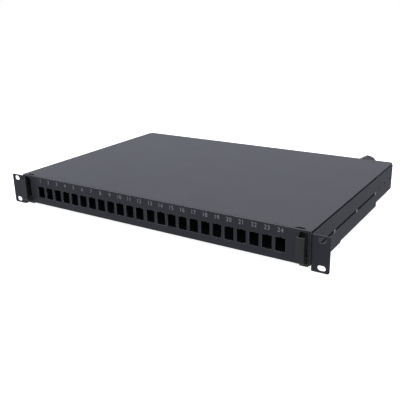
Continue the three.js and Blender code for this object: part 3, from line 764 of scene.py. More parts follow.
def shade(piece: bpy.types.Object) -> bpy.types.Object:
    """Shades small turns as round and large ones as edges, with flat faces kept flat."""
    piece.data.shade_smooth()
    piece.data.set_sharp_from_angle(angle=SMOOTH_BELOW)
    weighted = piece.modifiers.new("flat faces stay flat", "WEIGHTED_NORMAL")
    weighted.keep_sharp = True
    return settle(piece)


def made(
    name: str, finish: Finish, parts: Sequence[tuple[bmesh.types.BMesh, Matrix]], sealed: bool = True
) -> bpy.types.Object:
    """Makes a piece from closed solids in millimetres.

    Args:
        name: Name of the piece.
        finish: Its surface.
        parts: Solids, each with the matrix that lays it out.
        sealed: Whether every solid is closed, so that its faces can be turned outwards.

    Returns:
        The piece, at the origin, with its place in its mesh.
    """
    solid = merged(parts)
    solid.transform(Matrix.Scale(MM, 4))
    bmesh.ops.remove_doubles(solid, verts=solid.verts, dist=1e-4 * MM)
    if sealed:
        bmesh.ops.recalc_face_normals(solid, faces=solid.faces)
    mesh = bpy.data.meshes.new(name)
    solid.to_mesh(mesh)
    solid.free()
    mesh.materials.append(finish.material())
    return shade(linked(name, mesh))


def softened(name: str, finish: Finish, node: str, rim: float = 0.25) -> bpy.types.Object:
    """Copies a CAD node, merges its loose triangles and rounds its edges.

    Args:
        name: Name of the piece.
        finish: Its surface.
        node: CAD node to copy.
        rim: Radius on its edges, in millimetres.

    Returns:
        The piece.
    """
    solid = bmesh.new()
    solid.from_mesh(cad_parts[node].data)
    bmesh.ops.remove_doubles(solid, verts=solid.verts, dist=1e-3 * MM)
    bmesh.ops.dissolve_limit(solid, angle_limit=math.radians(1), verts=solid.verts, edges=solid.edges)
    round_edges(solid, rim * MM)
    mesh = bpy.data.meshes.new(name)
    solid.to_mesh(mesh)
    solid.free()
    mesh.materials.clear()
    mesh.materials.append(finish.material())
    return shade(linked(name, mesh))


def round_edges(solid: bmesh.types.BMesh, radius: float) -> None:
    """Rounds every edge that turns by more than 35 degrees.

    Args:
        solid: Mesh to change.
        radius: Radius of the rounding, in metres.
    """
    sharp = [e for e in solid.edges if e.is_manifold and e.calc_face_angle(0.0) > math.radians(35)]
    bmesh.ops.bevel(
        solid, geom=sharp, offset=radius, segments=2, profile=0.5, affect="EDGES", clamp_overlap=True
    )


def fitted(piece: bpy.types.Object, body: Body, slot: Slot, *nodes: str) -> bpy.types.Object:
    """Puts a finished piece on its body, in place of the CAD nodes that it stands for.

    Args:
        piece: The finished piece.
        body: Body that it rides on.
        slot: Material slot that its finish stands for. Not used.
        *nodes: CAD nodes that it stands for.

    Returns:
        The same piece.
    """
    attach(piece, body.value)
    if nodes:
        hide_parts(*nodes)
    LOG.info("%s on %s: %d faces", piece.name, body.value, len(piece.data.polygons))
    return piece


@dataclass(frozen=True)
class Extent:
    """Box round CAD nodes at rest, in millimetres."""

    low: Vector
    high: Vector

    @classmethod
    def of(cls, *nodes: str) -> Extent:
        """Returns the box round the named nodes."""
        boxes = [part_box(node) for node in nodes]
        low = Vector(min(b[0][i] for b in boxes) / MM for i in range(3))
        high = Vector(max(b[1][i] for b in boxes) / MM for i in range(3))
        return cls(low, high)

    @property
    def centre(self) -> Vector:
        """Middle of the box."""
        return (self.low + self.high) / 2

    @property
    def size(self) -> Vector:
        """Width, depth and height of the box."""
        return self.high - self.low


# ------------------------------------------------------------------ geometry trees


@dataclass
class GrowthTree:
    """A Geometry Nodes tree with named inputs, which grows a seed mesh into a finished one.

    Attributes:
        name: Name of the tree.
        sizes: Socket type of each named input.
    """

    name: str
    sizes: Mapping[str, str]
    tree: bpy.types.NodeTree = field(init=False)

    def __post_init__(self) -> None:
        """Makes the tree and its sockets."""
        self.tree = bpy.data.node_groups.new(self.name, "GeometryNodeTree")
        sockets = {"Geometry": "NodeSocketGeometry", **self.sizes, "Material": "NodeSocketMaterial"}
        for name, kind in sockets.items():
            self.tree.interface.new_socket(name, in_out="INPUT", socket_type=kind)
        self.tree.interface.new_socket("Geometry", in_out="OUTPUT", socket_type="NodeSocketGeometry")
        self.given = add_node(self.tree, "NodeGroupInput").outputs

    def add(
        self, kind: str, inputs: Mapping[str | int, object] | None = None, **settings: object
    ) -> bpy.types.NodeSocket:
        """Adds a node and returns its first output."""
        return add_node(self.tree, kind, inputs, **settings).outputs[0]

    def end_with(self, instances: bpy.types.NodeSocket) -> None:
        """Realizes the instances, gives them the material and ends the tree."""
        real = self.add("GeometryNodeRealizeInstances", {"Geometry": instances})
        dressed = self.add(
            "GeometryNodeSetMaterial", {"Geometry": real, "Material": self.given["Material"]}
        )
        add_node(self.tree, "NodeGroupOutput", {"Geometry": dressed})

    def grow(self, seed: bpy.types.Object, finish: Finish, **values: object) -> bpy.types.Object:
        """Runs the tree on a seed and keeps the result as the seed's own mesh.

        Args:
            seed: Object whose mesh is repeated or filled.
            finish: Surface of the result.
            **values: Value of each named input, with underscores for spaces.

        Returns:
            The seed, now grown.
        """
        given = {name.replace("_", " "): value for name, value in values.items()}
        given["Material"] = finish.material()
        modifier = seed.modifiers.new(self.name, "NODES")
        modifier.node_group = self.tree
        for item in self.tree.interface.items_tree:
            if item.item_type == "SOCKET" and item.in_out == "INPUT" and item.name in given:
                modifier[item.identifier] = given[item.name]
        return settle(seed)


def row_tree() -> GrowthTree:
    """Makes the tree that repeats a fastener or rib along a straight line.

    Returns:
        The tree.
    """
    growth = GrowthTree("row", {"Count": "NodeSocketInt", "Step": "NodeSocketVector"})
    line = growth.add(
        "GeometryNodeMeshLine",
        {"Count": growth.given["Count"], "Offset": growth.given["Step"]},
        mode="OFFSET",
    )
    growth.end_with(
        growth.add(
            "GeometryNodeInstanceOnPoints", {"Points": line, "Instance": growth.given["Geometry"]}
        )
    )
    return growth


def ring_tree() -> GrowthTree:
    """Makes the tree that repeats a rib round an axis through a centre.

    Returns:
        The tree.
    """
    growth = GrowthTree(
        "ring",
        {"Count": "NodeSocketInt", "Axis": "NodeSocketVector", "Centre": "NodeSocketVector"},
    )
    points = growth.add("GeometryNodeMeshLine", {"Count": growth.given["Count"], "Offset": (0, 0, 0)})
    share = growth.add(
        "ShaderNodeMath",
        {0: growth.add("GeometryNodeInputIndex"), 1: growth.given["Count"]},
        operation="DIVIDE",
    )
    angle = growth.add("ShaderNodeMath", {0: share, 1: math.tau}, operation="MULTIPLY")
    turn = growth.add("FunctionNodeAxisAngleToRotation", {"Axis": growth.given["Axis"], "Angle": angle})
    ribs = growth.add(
        "GeometryNodeInstanceOnPoints",
        {"Points": points, "Instance": growth.given["Geometry"], "Rotation": turn},
    )
    growth.end_with(
        growth.add("GeometryNodeTransform", {"Geometry": ribs, "Translation": growth.given["Centre"]})
    )
    return growth


def punched_sheet_tree() -> GrowthTree:
    """Makes the tree that fills an outline, punches a row of cut-outs in it and gives it a thickness.

    The seed is a set of closed edge loops in its own XY plane: the outer edge and any single openings.
    The row of cut-outs has a wider step at its middle.

    Returns:
        The tree.
    """
    growth = GrowthTree(
        "punched sheet",
        {
            "Cutout": "NodeSocketObject",
            "Count": "NodeSocketInt",
            "Pitch": "NodeSocketFloat",
            "Middle Gap": "NodeSocketFloat",
            "Row Height": "NodeSocketFloat",
            "Thickness": "NodeSocketFloat",
        },
    )
    given, add = growth.given, growth.add
    step = add("ShaderNodeCombineXYZ", {"X": given["Pitch"]})
    line = add("GeometryNodeMeshLine", {"Count": given["Count"], "Offset": step}, mode="OFFSET")
    last = add("ShaderNodeMath", {0: given["Count"], 1: 1.0}, operation="SUBTRACT")
    middle = add("ShaderNodeMath", {0: last, 1: 0.5}, operation="MULTIPLY")
    row_length = add("ShaderNodeMath", {0: middle, 1: given["Pitch"]}, operation="MULTIPLY")
    right_half = add(
        "ShaderNodeMath",
        {0: add("GeometryNodeInputIndex"), 1: middle},
        operation="GREATER_THAN",
    )
    side = add("ShaderNodeMath", {0: right_half, 1: 0.5}, operation="SUBTRACT")
    spread = add("ShaderNodeMath", {0: side, 1: given["Middle Gap"]}, operation="MULTIPLY")
    shift = add("ShaderNodeMath", {0: spread, 1: row_length}, operation="SUBTRACT")
    places = add(
        "GeometryNodeSetPosition",
        {
            "Geometry": line,
            "Offset": add("ShaderNodeCombineXYZ", {"X": shift, "Y": given["Row Height"]}),
        },
    )
    cutout = add_node(growth.tree, "GeometryNodeObjectInfo", {"Object": given["Cutout"]})
    cutouts = add(
        "GeometryNodeInstanceOnPoints",
        {"Points": places, "Instance": cutout.outputs["Geometry"]},
    )
    edges = add(
        "GeometryNodeJoinGeometry",
        {"Geometry": [given["Geometry"], add("GeometryNodeRealizeInstances", {0: cutouts})]},
    )
    filled = add("GeometryNodeFillCurve", {0: add("GeometryNodeMeshToCurve", {"Mesh": edges})})
    raised = add(
        "GeometryNodeExtrudeMesh",
        {"Mesh": filled, "Offset Scale": given["Thickness"], "Individual": False},
    )
    underside = add("GeometryNodeFlipFaces", {"Mesh": filled})
    sheet = add("GeometryNodeJoinGeometry", {"Geometry": [raised, underside]})
    growth.end_with(add("GeometryNodeMergeByDistance", {"Geometry": sheet, "Distance": 1e-3 * MM}))
    return growth


def edge_loops(name: str, loops: Sequence[Loop]) -> bpy.types.Object:
    """Makes an object of closed edge loops in its XY plane.

    Args:
        name: Name of the object.
        loops: Outlines in millimetres.

    Returns:
        The object.
    """
    verts: list[tuple[float, float, float]] = []
    edges: list[tuple[int, int]] = []
    for loop in loops:
        first = len(verts)
        verts += [(u * MM, v * MM, 0.0) for u, v in loop]
        edges += [(first + i, first + (i + 1) % len(loop)) for i in range(len(loop))]
    mesh = bpy.data.meshes.new(name)
    mesh.from_pydata(verts, edges, [])
    return linked(name, mesh)


# ------------------------------------------------------------------ fasteners


@dataclass
class Fastener:
    """A screw or rivet with a domed head, drawn along w with the underside of its head at zero.

    Attributes:
        shank: Radius of the shank.
        length: Length of the shank.
        head: Radius of the head.
        height: Height of the head.
        recess: Width of the cross recess, or zero where there is none.
        pitch: Thread pitch, or zero for a plain shank.
    """

    shank: float
    length: float
    head: float
    height: float
    recess: float = 0.0
    pitch: float = 0.0

    def solid(self) -> bmesh.types.BMesh:
        """Builds the fastener.

        Returns:
            The mesh, in millimetres.
        """
        if self.pitch:
            stem = threaded(self.shank, -self.length, -0.2, self.pitch, 0.14 * self.shank)
        else:
            stem = [(self.shank, -self.length)]
        dome = [
            (self.head * math.cos(a), self.height * (0.3 + 0.7 * math.sin(a)))
            for a in (math.radians(d) for d in (0, 18, 36, 54, 72, 86))
        ]
        profile = [
            (0, -self.length),
            *stem,
            (self.shank, 0),
            (self.head - 0.12, 0),
            (self.head, 0.12),
            *dome,
            (0, self.height),
        ]
        return turned(profile, 28)

    def seed(self, name: str, finish: Finish, place: Matrix) -> bpy.types.Object:
        """Makes the fastener at its first place, with its recess cut.

        Args:
            name: Name of the piece.
            finish: Its surface.
            place: Matrix from the fastener's axes to the row's.

        Returns:
            The piece.
        """
        body = made(name, finish, [(self.solid(), place.copy())])
        if not self.recess:
            return body
        arm, width, deep = self.recess / 2, 0.13 * self.recess, 0.55 * self.height
        slots = [
            Blank(rectangle((-a, a), (-b, b), 0.3 * width), 2 * self.height, rim=0.0)
            for a, b in ((arm, width), (width, arm))
        ]
        for slot in slots:
            slot.profile = [(0.35 * width, 0.0), (0.0, 0.5 * deep), (0.0, 2 * self.height)]
            lift = Matrix.Translation((0, 0, self.height - deep))
            tool = made(name + "_recess", finish, [(slot.solid(), place @ lift)])
            carve(body, tool)
        return shade(body)


def carve(piece: bpy.types.Object, tool: bpy.types.Object) -> None:
    """Cuts a tool out of a piece and removes the tool."""
    cut = piece.modifiers.new("cut", "BOOLEAN")
    cut.operation, cut.solver, cut.object = "DIFFERENCE", "EXACT", tool
    settle(piece)
    bpy.data.objects.remove(tool)


@dataclass
class FastenerRow:
    """Equal fasteners along a line, kept as one piece.

    Attributes:
        name: Name of the piece.
        fastener: What is repeated.
        body: Body that they ride on.
        nodes: CAD nodes that they stand for, in order.
        across: Axis along which each one points, such as "y" or "-x".
        seat: Where the underside of each head sits along that axis.
    """

    name: str
    fastener: Fastener
    body: Body
    nodes: Sequence[str]
    across: str
    seat: float

    def build(self, row: GrowthTree) -> None:
        """Makes the row on the nodes' own places.

        Args:
            row: Tree that repeats along a line.
        """
        first, last = (Extent.of(self.nodes[i]).centre for i in (0, -1))
        axis = "xyz".index(self.across[-1])
        start = first.copy()
        start[axis] = self.seat
        others = {"x": ("y", "z"), "y": ("z", "x"), "z": ("x", "y")}[self.across[-1]]
        u, v = others if self.across[0] != "-" else others[::-1]
        seed = self.fastener.seed(self.name, ZINC, frame_at((0, 0, 0), u, v, self.across))
        steps = max(1, len(self.nodes) - 1)
        step = (last - first) / steps
        step[axis] = 0.0
        row.grow(seed, ZINC, Count=len(self.nodes), Step=tuple(step * MM))
        seed.data.transform(Matrix.Translation(start * MM))
        fitted(seed, self.body, Slot.ZINC, *self.nodes)


# ------------------------------------------------------------------ casing


@dataclass
class FoldedPan:
    """A sheet folded up into a floor, two sides and a rear wall, open at the front and the top.

    Attributes:
        box: Outside box of the floor and the sides.
        side_height: Height of the sides.
        rear_height: Height of the rear wall.
        radius: Inside radius of the bends.
        front: Outline of the front edge of the floor, from left to right.
        side_holes: Holes (y, z, radius) in both sides.
        side_slots: Slots (front y, rear y, z, height) in both sides.
        rear_holes: Holes (x, z, radius) in the rear wall.
        floor_holes: Holes (x, y, radius) in the floor.
    """

    box: Extent
    side_height: float
    rear_height: float
    radius: float
    front: Loop
    side_holes: Sequence[Corner] = ()
    side_slots: Sequence[tuple[float, float, float, float]] = ()
    rear_holes: Sequence[Corner] = ()
    floor_holes: Sequence[Corner] = ()

    RELIEF = 1.1  # width of the slit at each rear corner of the floor
    RELIEF_AHEAD = 0.8  # how far the slit starts ahead of the rear bend
    REAR_GAP = 0.3  # between the rear wall and each side
    SHOULDER = 0.5  # from the rear of the box to where the rear wall widens

    def blank(self) -> Blank:
        """Lays the pan out flat, with its folds.

        Returns:
            The flat blank, ready to be folded.
        """
        outer = self.radius + SHEET
        taken = math.pi / 2 * (self.radius + SHEET / 2)
        half = self.box.high.x - outer
        rear = self.box.high.y - outer
        side_end = half + taken + self.side_height - outer
        rear_end = rear + taken + self.rear_height - outer
        rear_inner = self.box.high.x - SHEET - self.REAR_GAP
        slit = rear - self.RELIEF_AHEAD
        shoulder = self.box.high.y + self.SHOULDER
        right = [
            (side_end, self.front[-1][1], 0.6),
            (side_end, self.box.high.y, 0.6),
            (half, self.box.high.y, 0.0),
            (half, slit, 0.0),
            (half - self.RELIEF, slit, 0.0),
            (half - self.RELIEF, shoulder, 0.0),
            (rear_inner, shoulder, 0.0),
            (rear_inner, rear_end, 0.6),
        ]
        left = [(-u, v, r) for u, v, r in reversed(right)]
        outline = rounded([*((u, v, 0.0) for u, v in self.front), *right, *left], 4)
        to_side = half + taken - self.box.low.z - outer
        to_rear = rear + taken - self.box.low.z - outer
        holes = [
            circle((side * (z + to_side), y), radius, 24)
            for y, z, radius in self.side_holes
            for side in (-1, 1)
        ]
        for front, rear_y, z, height in self.side_slots:
            for side in (-1, 1):
                u = side * (z + to_side)
                across, along = (u - height / 2, u + height / 2), (front, rear_y)
                holes.append(rectangle(across, along, 0.49 * height, 8))
        holes += [circle((x, z + to_rear), radius, 32) for x, z, radius in self.rear_holes]
        holes += [circle((x, y), radius, 20) for x, y, radius in self.floor_holes]
        folds = [
            Fold(0, side * half, side, self.radius, where=lambda u, v: v < shoulder - 0.2)
            for side in (-1, 1)
        ]
        folds.append(
            Fold(
                1,
                rear,
                1,
                self.radius,
                where=lambda u, v: (abs(u) < half - 0.5 * self.RELIEF) | (v > shoulder - 0.2),
            )
        )
        return Blank(outline, SHEET, holes, folds=folds)


@dataclass
class Casing:
    """The folded base of the casing and its screwed cover.

    Attributes:
        bend: Inside radius of the bends.
        arch_width: Width of the shallow arch in the front edge of the cover near each latch.
        arch_depth: Depth of that arch.
        arch_inward: From the middle of each latch inwards to the middle of its arch.
        corner_relief: Side of the square cut from each rear corner of the cover.
        screw_hole: Radius of the cover screw holes.
        entry_hole: Radius of the two cable entries.
        side_hole: Radius of the three holes near the rear of each side.
        slot_height: Height of the slots in the sides behind those of the ears.
        slot_web: From the middle of each ear screw to the slot in front of it.
    """

    bend: float = 0.8
    arch_width: float = 14.0
    arch_depth: float = 4.0
    arch_inward: float = 5.0
    corner_relief: float = 2.4
    screw_hole: float = 1.8
    entry_hole: float = 10.3
    side_hole: float = 1.5
    slot_height: float = 5.0
    slot_web: float = 3.0

    WELD = 0.2  # how far the flanges reach into the plate, to which they are tacked
    SIDE_HOLE_Z = 23.5
    SIDE_HOLE_PITCH = 25.0
    SIDE_HOLE_FROM_REAR = 11.5
    NOTCH_PAST_LATCH = 0.8
    NOTCH_BEHIND_BOSS = 1.5

    def build(self, row: GrowthTree) -> None:
        """Builds the base, the cover and the cover screws.

        Args:
            row: Tree that repeats along a line.
        """
        self.build_base()
        self.build_cover()
        rear = Extent.of("rear_panel").high.y
        FastenerRow(
            "cover_screws",
            Fastener(1.5, 5.6, 2.9, 1.9, recess=3.4, pitch=0.7),
            Body.CASING,
            [f"cover_screw_{n}" for n in (1, 2, 3)],
            "y",
            rear + 0.1,
        ).build(row)

    def front_edge(self, y: float, half: float) -> Loop:
        """Returns the front edge of the floor, from left to right, with a notch for each latch."""
        latch = Extent.of("latch_right")
        inner, outer = latch.low.x - self.NOTCH_PAST_LATCH, latch.high.x + self.NOTCH_PAST_LATCH
        deep = latch.high.y + self.NOTCH_BEHIND_BOSS
        right = [(inner, y), (inner, deep), (outer, deep), (outer, y), (half, y)]
        return [(-u, v) for u, v in reversed(right)] + right

    def build_base(self) -> None:
        """Builds the floor, sides and rear wall as one folded sheet."""
        names = ("casing_floor", "side_panel_left", "side_panel_right", "rear_panel")
        box = Extent.of(*names)
        entries = [Extent.of(n).centre for n in ("gland_lock_nut", "entry_plug_nut")]
        screws = [Extent.of(f"cover_screw_{n}").centre for n in (1, 2, 3)]
        ear_screws = [Extent.of(f"ear_screw_right_{n}").centre for n in (1, 2, 3)]
        side_holes = [(c.y, c.z, 1.4) for c in ear_screws]
        side_holes += [
            (
                box.high.y - self.SIDE_HOLE_FROM_REAR - n * self.SIDE_HOLE_PITCH,
                self.SIDE_HOLE_Z,
                self.side_hole,
            )
            for n in range(3)
        ]
        pan = FoldedPan(
            box,
            Extent.of("side_panel_right").high.z - box.low.z,
            box.size.z,
            self.bend,
            self.front_edge(box.low.y, box.high.x - self.bend - SHEET),
            side_holes,
            [
                (front, screw.y - self.slot_web, screw.z, self.slot_height)
                for (front, _), screw in zip(ear_slots("right"), ear_screws)
            ],
            [(c.x, c.z, self.entry_hole) for c in entries]
            + [(c.x, c.z, self.screw_hole) for c in screws],
        )
        place = frame_at((0, 0, box.low.z), "x", "y", "z")
        piece = made("casing_base", POWDER, [(pan.blank().solid(), place)])
        fitted(piece, Body.CASING, Slot.POWDER_COAT, *names)

    def build_cover(self) -> None:
        """Builds the cover: an overhanging plate with its arches, and the flanges under it."""
        top, side, rear = (
            Extent.of(n) for n in ("top_cover", "cover_flange_right", "cover_flange_rear")
        )
        arch_x = Extent.of("latch_right").centre.x - self.arch_inward
        radius = (self.arch_width**2 / 4 + self.arch_depth**2) / (2 * self.arch_depth)
        middle_y = top.low.y + self.arch_depth - radius
        reach = math.degrees(math.asin((radius - self.arch_depth) / radius))
        corner = self.corner_relief
        right: Loop = arc((arch_x, middle_y), radius, 180 - reach, reach, 14)
        right += [
            (top.high.x, top.low.y),
            (top.high.x, top.high.y - corner),
            (top.high.x - corner, top.high.y - corner),
            (top.high.x - corner, top.high.y),
        ]
        plate = Blank([*right, *((-u, v) for u, v in reversed(right))], SHEET, rim=0.25)
        parts = [(plate.solid(), frame_at((0, 0, top.low.z), "x", "y", "z"))]
        weld = top.low.z + self.WELD
        for way in SIDES.values():
            flap = rectangle((side.low.y, side.high.y), (side.low.z, weld), 0.3, 3)
            across = side.low.x if way > 0 else -side.high.x
            parts.append((Blank(flap, SHEET).solid(), frame_at((across, 0, 0), "y", "z", "x")))
        screws = [Extent.of(f"cover_screw_{n}").centre for n in (1, 2, 3)]
        holes = [circle((-c.x, c.z), self.screw_hole, 20) for c in screws]
        flap = rectangle((-rear.high.x, rear.high.x), (rear.low.z, weld), 0.3, 3)
        back = Blank(flap, rear.size.y, holes).solid()
        parts.append((back, frame_at((0, rear.low.y, 0), "-x", "z", "y")))
        piece = made("cover_shell", POWDER, parts)
        names = ("top_cover", "cover_flange_left", "cover_flange_right", "cover_flange_rear")
        fitted(piece, Body.CASING, Slot.POWDER_COAT, *names)


@dataclass
class Slides:
    """The two-part drawer slides: nested channels of zinc-plated strip.

    Attributes:
        bend: Inside radius of the rolled corners.
        hole: Radius of the row of holes in the web of the inner member.
        hole_pitch: Step of that row.
        slot_height: Height of the slots in the web of the outer member, behind those of the casing.
    """

    bend: float = 0.6
    hole: float = 2.0
    hole_pitch: float = 32.0
    slot_height: float = 8.5

    FIRST_HOLE = 14.0  # from the front of the member to its first hole
    SOLID_ENDS = 20.0  # length of the member that the row leaves free
    SLOT_FRONT = 5.0  # least metal ahead of the first slot
    SLOT_WEB = 6.0  # from the rear of each ear slot to the end of the slot behind it

    def build(self) -> None:
        """Builds both members on both sides."""
        for word, side in SIDES.items():
            for member, body in (("outer", Body.CASING), ("inner", Body.DRAWER)):
                node = f"slide_{member}_{word}"
                self.build_member(node, side, member == "outer", body)

    def build_member(self, node: str, side: int, outer: bool, body: Body) -> None:
        """Builds one channel.

        Args:
            node: CAD node of the member.
            side: 1 for the right side and -1 for the left.
            outer: Whether its web is on the casing side.
            body: Body that it rides on.
        """
        box = Extent.of(node)
        corner = self.bend + SHEET
        taken = math.pi / 2 * (self.bend + SHEET / 2)
        flat = box.size.z / 2 - corner
        end = flat + taken + box.size.x - corner
        outline = rectangle((-end, end), (box.low.y, box.high.y), 1.0, 4)
        folds = [Fold(0, way * flat, way, self.bend) for way in (-1, 1)]
        holes = self.slots(box) if outer else self.round_holes(box)
        # The upper face of the blank is inside the channel, so it looks away from the web.
        right_web = outer == (side > 0)
        web_x = box.high.x if right_web else box.low.x
        place = frame_at((web_x, 0, box.centre.z), "z", "y", "-x" if right_web else "x")
        blank = Blank(outline, SHEET, holes, folds=folds)
        piece = made(f"{node}_channel", ZINC, [(blank.solid(), place)])
        fitted(piece, body, Slot.ZINC, node)

    def round_holes(self, box: Extent) -> list[Loop]:
        """Returns the row of holes in the web of the inner member."""
        count = int((box.size.y - self.SOLID_ENDS) / self.hole_pitch)
        first = box.low.y + self.FIRST_HOLE
        return [circle((0, first + n * self.hole_pitch), self.hole, 20) for n in range(count)]

    def slots(self, box: Extent) -> list[Loop]:
        """Returns the slots in the web of the outer member."""
        half = self.slot_height / 2
        first = box.low.y + self.SLOT_FRONT
        spans = [(max(front, first), rear - self.SLOT_WEB) for front, rear in ear_slots("right")]
        return [rectangle((-half, half), span, 0.9 * half, 8) for span in spans]


# ------------------------------------------------------------------ rack ears


def ear_slots(word: str, travel: float = 56.0, height: float = 2.8, web: float = 4.5) -> list[Point]:
    """Finds the slots of an ear between its screws.

    Args:
        word: "left" or "right".
        travel: How far the ear can be shifted.
        height: Height of the slots.
        web: Metal between two slots.

    Returns:
        The front and rear end of each slot along the row's Y.
    """
    places = [Extent.of(f"ear_screw_{word}_{n}").centre.y for n in (1, 2, 3)]
    fronts = [places[0] - travel - height / 2]
    fronts += [place + height / 2 + web for place in places[:-1]]
    return [(front, place + height / 2) for front, place in zip(fronts, places)]


@dataclass
class RackEar:
    """An ear folded from plate: the face with its rack holes, and the slotted leg along the casing.

    Attributes:
        word: "left" or "right".
        bend: Inside radius of the fold.
        thickness: Gauge of the plate.
        corner: Radius of the outer corners.
        hole: Length and height of each rack hole.
        hole_inset: From the outer edge to the middle of the holes.
        hole_pitch: Between the two holes.
        travel: How far the ear can be shifted, which sets the length of its first slot.
        slot: Height of the slots in the leg.
        step_y: From the front of the ear to where the lower edge of the leg rises.
        step: How far it rises.
    """

    word: str
    bend: float = 0.6
    thickness: float = 1.8
    corner: float = 2.0
    hole: Point = (9.6, 6.4)
    hole_inset: float = 8.75
    hole_pitch: float = 31.75
    travel: float = 56.0
    slot: float = 2.8
    step_y: float = 86.0
    step: float = 2.1

    def build(self, row: GrowthTree) -> None:
        """Builds the ear and the screws that hold it.

        Args:
            row: Tree that repeats along a line.
        """
        node = f"rack_ear_{self.word}"
        side = SIDES[self.word]
        box = Extent.of(node)
        outer = self.bend + self.thickness
        taken = math.pi / 2 * (self.bend + self.thickness / 2)
        face = box.size.x - outer
        leg = taken + box.size.y - outer
        lift = taken - outer
        low, high = box.low.z, box.high.z
        screws = [f"ear_screw_{self.word}_{n}" for n in (1, 2, 3)]
        corners = [
            (-face, low, self.corner),
            (lift + self.step_y, low, 0.8),
            (lift + self.step_y + self.step, low + self.step, 0.8),
            (leg, low + self.step, 1.2),
            (leg, high, 1.2),
            (-face, high, self.corner),
        ]
        holes = [
            obround((self.hole_inset - face, box.centre.z + way * self.hole_pitch / 2), *self.hole)
            for way in (-1, 1)
        ]
        slot_z = Extent.of(screws[0]).centre.z
        for front, rear in ear_slots(self.word, self.travel, self.slot):
            middle = lift + (front + rear) / 2 - box.low.y
            holes.append(obround((middle, slot_z), rear - front, self.slot))
        blank = Blank(
            rounded(corners, 6), self.thickness, holes, rim=0.12, folds=[Fold(0, 0.0, 1, self.bend)]
        )
        inner_x = box.low.x if side > 0 else box.high.x
        origin = (inner_x + side * outer, box.low.y, 0.0)
        place = frame_at(origin, "-x" if side > 0 else "x", "z", "y")
        piece = made(f"ear_{self.word}", POWDER, [(blank.solid(), place)])
        body = Body.EAR_RIGHT if side > 0 else Body.EAR_LEFT
        fitted(piece, body, Slot.POWDER_COAT, node)
        seat = (box.low.x if side > 0 else box.high.x) + side * (self.thickness + 0.1)
        FastenerRow(
            f"ear_screws_{self.word}",
            Fastener(1.1, 3.2, 2.0, 1.1, recess=2.2),
            Body.CASING,
            screws,
            "x" if side > 0 else "-x",
            seat,
        ).build(row)


# ------------------------------------------------------------------ front


